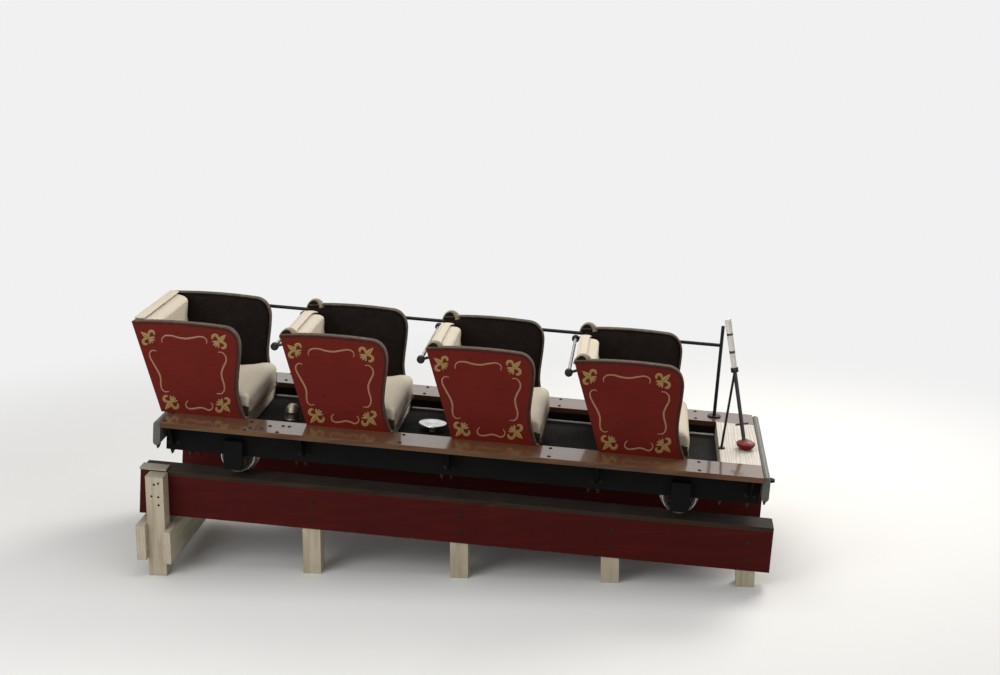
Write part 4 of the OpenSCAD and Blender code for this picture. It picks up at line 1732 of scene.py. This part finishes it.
@dataclass
class Hardware:
    """Bolt heads, strips in the footwells, and the turned metal pieces that stand in them."""

    shape: SeatShape = SHAPE
    head_r: float = 9.0
    well_floor: float = -100.0
    sill_y: float = -560.0
    beam_y: float = -600.0
    post_y: float = -718.0
    plank_rows: tuple[float, float] = (520.0, 700.0)
    members: tuple[float, ...] = (96.0, 950.0, 1900.0, 2850.0, 3830.0)
    bents: tuple[float, ...] = (1030.0, 2000.0, 2980.0, 3850.0)
    hangers: tuple[float, ...] = (82, 205, 265, 905, 965, 1855, 1915, 2805, 2865, 3640, 3815)
    rod_end: float = -262.0

    def head(self) -> Shell:
        """A domed coach bolt head on a washer, standing on Z = 0.

        Returns:
            The closed shell.
        """
        r = self.head_r
        washer = [[r * 1.45, -0.6], [r * 1.45, 1.2], [r * 1.05, 1.8]]
        return turned(np.array(washer + [[r, 2.6], [r * 0.8, 4.8], [r * 0.4, 6.2], [0.6, 6.6]]), 14)

    def on_faces(self, spots: list[Point], normal: Point = (0.0, -1.0, 0.0)) -> Shell:
        """Heads at spots of the right side or a top, each turned from Z to the face's normal, and their mirror image.

        Formula: the head's X, Y and Z are carried by two unit vectors in the face and its normal.

        Args:
            spots: where they stand.
            normal: the direction that they point in.

        Returns:
            The heads as one shell.
        """
        head, up = self.head(), np.array(normal)
        side = np.cross(up, [0.0, 0.0, 1.0] if abs(up[2]) < 0.9 else [1.0, 0.0, 0.0])
        side /= np.linalg.norm(side)
        turn = np.stack([side, np.cross(up, side), up])
        heads = [Shell(head.points @ turn + spot, head.quads, head.tris) for spot in np.array(spots, float)]
        return Shell.joined(heads).both()

    def plank_bolts(self) -> Shell:
        """Bolts on the planks: a scattered group ahead of the rear bench, and pairs beside the others.

        Returns:
            The heads as one shell.
        """
        spots = [(599, 548), (623, 685), (694, 675), (731, 601), (812, 574), (853, 575), (803, 720), (597, 735)]
        pairs = [foot + 640 for foot in self.shape.feet[1:]] + [70.0]
        spots += [(x, y) for x in pairs for y in self.plank_rows]
        return self.on_faces([(x, y, 0.0) for x, y in spots], (0.0, 0.0, 1.0))

    def panel_bolts(self) -> Shell:
        """Two small bolts on each panel's middle line."""
        spots = [(foot + x, -self.shape.panel_out, z) for foot in self.shape.feet for x, z in ((84, 540), (102, 206))]
        return replace(self, head_r=6.0).on_faces(spots)

    def hanging_bolts(self) -> Shell:
        """Ends of the long bolts that hang below the sills and the end beams.

        Returns:
            The rods and nuts as one shell.
        """
        steps = [(0.6, 0), (6, 0), (6.5, 2), (6.5, 16), (12, 16), (12, 28), (6.5, 28), (6.5, 34)]
        rod = turned(np.array(steps) + [0, self.rod_end], 8)
        rods = [rod.moved(x, y, 0) for x in self.hangers for y in (516, 544)]
        rods += [rod.moved(x, y, 72) for x in (23, 3913) for y in (655, 685)]
        return Shell.joined(rods).both()

    def sill_bolts(self) -> Shell:
        """Bolts through the sills at each cross member."""
        return self.on_faces([(x + dx, self.sill_y, z) for x in self.members for dx in (-24, 24) for z in (-78, -180)])

    def stand_bolts(self) -> Shell:
        """Bolts through the beams at each bent, and screws on the rear posts.

        Returns:
            The heads as one shell.
        """
        bolts = self.on_faces([(x, self.beam_y, z) for x in self.bents for z in (-485, -600)])
        screws = [(-1, -510), (44, -512), (48, -566), (13, -430), (40, -420)]
        posts = replace(self, head_r=5.0).on_faces([(x, self.post_y, z) for x, z in screws])
        return Shell.joined([bolts, posts])

    def cap_ends(self) -> Shell:
        """A short pale board on the rear end of each cap plank, with its outer edges taken off. Its paleness is partly
        bare wood and partly painted sunlight on the cap's rear end.

        Returns:
            Both boards as one shell.
        """
        x, (y0, y1), (z0, z1) = np.linspace(-116, 60, 12), (498.0, 603.0), (-371.0, -357.0)
        section = np.array([(y0, z0), (y1, z0), (y1, z1 - 2), (y1 - 3, z1), (y0 + 3, z1), (y0, z1 - 2)])
        corners = np.broadcast_to(section[None], (len(x), *section.shape))
        return skin(np.concatenate([np.broadcast_to(x[:, None, None], corners[..., :1].shape), corners], -1)).both()

    def well_strips(self) -> Shell:
        """A pale quarter-round strip along both walls of each footwell, on its floor.

        Returns:
            The strips as one shell.
        """
        ends = [foot + 2 for foot in self.shape.feet[1:]] + [3628.0]
        strips = []
        for foot, end in zip(self.shape.feet, ends):
            path = np.stack([np.linspace(foot + 556, end, 24), np.full(24, self.well_floor + 7)], 1)
            strips.append(carried(path, oval(8, 9, 10, 2.6), -464.0, closing(24, 0.03)))
        return Shell.joined(strips).both()

    def dome(self) -> Shell:
        """The brass cup: upright side under a round top, with a rolled foot and a neck ring.

        Returns:
            The closed shell.
        """
        a = np.linspace(0, np.pi / 2, 14)
        side = [[48.6, -0.5], [52, 2], [52, 6], [48.4, 9], [48, 30], [48, 52], [49.6, 55], [49.6, 59], [48, 61]]
        top = np.stack([48 * np.cos(a[1:-1]), 60 + 48 * np.sin(a[1:-1])], 1)
        return turned(np.vstack([side, top, [[2.0, 108.2]]]), 48).moved(770, -60, self.well_floor)

    def disc(self) -> Shell:
        """The bright tread disc: a stem, a flat plate with a raised rim and a shallow dished middle.

        Returns:
            The closed shell.
        """
        stem = [[40, -0.5], [40, 38], [90, 40]]
        rim = [[96, 42], [97, 48], [94, 53], [88, 53.6]]
        dish = [[82, 50.5], [60, 50], [30, 49.6], [10, 49.4], [1, 49.4]]
        return turned(evenly(np.array(stem + rim + dish, float), 60), 64).moved(1720, -25, self.well_floor)

    def pedestal(self) -> Shell:
        """The lever's foot: a bowl with a rolled rim under a low cone that holds the lever.

        Returns:
            The closed shell.
        """
        bowl = bezier([[30, -0.4], [46, 6], [62, 22], [62, 38]], 12)
        cone = bezier([[62, 38], [60, 52], [30, 56], [14, 68]], 14)
        return turned(np.vstack([bowl, [[63.5, 40.5]], cone[1:], [[3, 69]]]), 44).moved(3802, -130, 0)

    def build(self) -> None:
        """Builds the bolts, strips and turned pieces."""
        for name, shell, finish in (
            ("plank_bolts", self.plank_bolts(), BOLT_STEEL),
            ("panel_bolts", self.panel_bolts(), PANEL_RED),
            ("sill_bolts", self.sill_bolts(), BOLT_STEEL),
            ("stand_bolts", self.stand_bolts(), BOLT_STEEL),
            ("hanging_bolts", self.hanging_bolts(), BOLT_STEEL),
            ("cap_end_boards", self.cap_ends(), CAP_END),
            ("footwell_strips", self.well_strips(), WELL_STRIP),
        ):
            finish_piece(make_mesh(name, shell), finish)
        finish_piece(make_mesh("brass_cup", self.dome()), BRASS, "well_dome", crease=40)
        finish_piece(make_mesh("tread_disc", self.disc()), BRIGHT_PLATE, "well_disc", crease=40)
        finish_piece(make_mesh("lever_foot", self.pedestal()), PEDESTAL_RED, "lever_pedestal")


@dataclass
class Carcass:
    """Finishes of the CAD nodes that keep their mesh."""

    axles: tuple[tuple[str, float], ...] = (("rear", 500.0), ("front", 3390.0))
    axle_z: float = -259.5

    def iron(self, name: str, x: float) -> Metal:
        """The cast iron of two wheels, bright on the tread.

        Args:
            name: its name.
            x: where their axle lies along the car.

        Returns:
            The finish.
        """
        centre = AXES.place(np.array([x, 0.0, self.axle_z]))
        worn = {"tarnish": (0.045, 0.028, 0.02), "rough": 0.5, "metallic": 0.8}
        return Metal(name, "cast_iron", (0.07, 0.066, 0.062), wheel=tuple(centre.tolist()), **worn)

    def finishes(self) -> dict[str, Finish]:
        """Each node's finish.

        Returns:
            The finishes by node.
        """
        foot, way = lever_line()
        made: dict[str, Finish] = {
            "stand_beams": BEAM_RED, "stand_caps": CAP_BROWN, "stand_posts": POST_CREAM, "stand_ledgers": LEDGER_CREAM,
            "side_planks": PLANK, "sills": FRAME_BLACK, "cross_members": FRAME_BLACK, "plank_brackets": FRAME_BLACK,
            "well_floor": DARK_BOARDS, "well_walls": DARK_BOARDS, "rear_buffer": BUFFER_GREY,
            "front_buffer": BUFFER_GREY, "front_deck": DECK_PALE, "drawbars": FRAME_BLACK, "axle_boxes": FRAME_BLACK,
            "rear_axle": AXLE_STEEL, "front_axle": AXLE_STEEL, "grab_bars": BAR_COAT, "handrail": RAIL_BLACK,
            "lever_brace": RAIL_BLACK,
            "brake_lever": LeverCoat("lever_black_and_white", "black_steel", (0.014, 0.013, 0.014), foot=foot, way=way),
        }
        made.update({f"{end}_wheels": self.iron(f"{end}_wheels_cast_iron", x) for end, x in self.axles})
        for i in range(1, 5):
            made.update({f"seat{i}_panels": PANEL_RED, f"seat{i}_back": BACK_RED, f"seat{i}_base": BEIGE_VELVET})
        return made

    def build(self) -> None:
        """Dresses the nodes."""
        for node, finish in self.finishes().items():
            dress(node, finish)


@dataclass
class Studio:
    """Floor, lights, sky and the camera at the photograph's viewing angle."""

    place: Point = (1.270, -11.414, 4.124)
    pitch: float = 76.98
    yaw: float = 5.0
    lens: float = 63.79
    floor_x: tuple[float, float] = (-30.0, 30.0)
    floor_y: tuple[float, float] = (-30.0, 60.0)
    floor_fade: tuple[float, float] = (2.6, 7.0)
    floor_tones: tuple[Colour, Colour] = ((0.70, 0.69, 0.67), (0.74, 0.73, 0.71))
    back_tone: tuple[float, ...] = (0.88, 0.88, 0.88, 1.0)
    sky_tone: tuple[float, ...] = (0.978, 0.978, 0.978, 1.0)
    sky_light: float = 0.48
    sky_seen: float = 0.42

    def camera(self) -> None:
        """Makes the camera."""
        data = bpy.data.cameras.new("camera")
        data.lens, data.sensor_width, data.sensor_fit = self.lens, 36.0, "HORIZONTAL"
        obj = placed("camera", data)
        obj.location = self.place
        obj.rotation_euler = Euler((math.radians(self.pitch), 0, math.radians(self.yaw)))
        bpy.context.scene.camera = obj

    def lamp(self, name: str, place: Point, aim: Point, size: float, watts: float, tint: Colour = (1, 1, 1)) -> None:
        """One soft square lamp that points at a spot.

        Args:
            name: its name.
            place: where it is.
            aim: the spot.
            size: its breadth in metres.
            watts: its power.
            tint: its colour.
        """
        data = bpy.data.lights.new(name, "AREA")
        data.size, data.energy, data.color = size, watts, tint
        obj = placed(name, data)
        obj.location = place
        obj.rotation_euler = (Vector(aim) - Vector(place)).to_track_quat("-Z", "Y").to_euler()

    def floor(self) -> None:
        """A large plain pale floor with a faint unevenness of tone, which fades into the surround far out."""
        sides = np.linspace(*self.floor_x, 13), np.linspace(*self.floor_y, 13)
        grid = np.stack([*np.meshgrid(*sides, indexing="ij"), np.zeros((13, 13))], -1)
        obj = make_mesh("studio_floor", skin(grid, ring=False, poles=False), metres=True)
        mat = bpy.data.materials.new("studio_floor_pale")
        b = Bench.cleared(mat)
        here = b.put("TexCoord").outputs["Object"]
        tone = b.mix(b.noise(here, 0.7, 3), *self.floor_tones)
        shader = b.put("BsdfPrincipled", {"Base Color": tone, "Roughness": 0.75})
        glow = b.put("Emission", {"Color": self.back_tone, "Strength": 1.0})
        away = b.span(b.vectors("LENGTH", here), *self.floor_fade)
        path = b.put("LightPath").outputs
        seen = b.maths("MAXIMUM", path["Is Camera Ray"], path["Is Glossy Ray"])
        surface = b.put("MixShader", {0: b.times(away, seen), 1: shader.outputs[0], 2: glow.outputs[0]})
        b.put("OutputMaterial", {"Surface": surface.outputs[0]})
        obj.data.materials.append(mat)

    def sky(self) -> None:
        """A soft grey surround that the camera, gloss and glass see as near white."""
        world = bpy.data.worlds.new("studio")
        bpy.context.scene.world = world
        b = Bench.cleared(world)
        path = b.put("LightPath").outputs
        seen = b.maths("MAXIMUM", path["Is Camera Ray"], path["Is Glossy Ray"])
        seen = b.maths("MAXIMUM", seen, path["Is Transmission Ray"])
        strength = b.plus(b.times(seen, self.sky_seen), self.sky_light)
        back = b.put("Background", {"Color": self.sky_tone, "Strength": strength})
        b.put("OutputWorld", {"Surface": back.outputs[0]})

    def build(self) -> None:
        """Sets the stage."""
        self.camera()
        self.floor()
        self.sky()
        self.lamp("key", (4.2, 4.6, 5.6), (0.2, 0, 0.9), 3.2, 420, (1.0, 0.97, 0.92))
        self.lamp("fill", (-4.5, -6.0, 4.2), (0, 0, 0.8), 4.5, 260, (0.96, 0.98, 1.0))
        self.lamp("top", (0.0, -0.5, 6.5), (0, 0, 0.6), 4.0, 160)
        bpy.context.scene.view_settings.view_transform = "Standard"


def main() -> None:
    """Builds the classes in order."""
    logging.basicConfig(level=logging.INFO, format="%(message)s")
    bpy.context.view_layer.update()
    for part in (Studio(), Carcass(), Upholstery(), Ornament(), Hardware()):
        LOG.info("== %s", type(part).__name__)
        part.build()


if __name__ == "__main__":
    main()
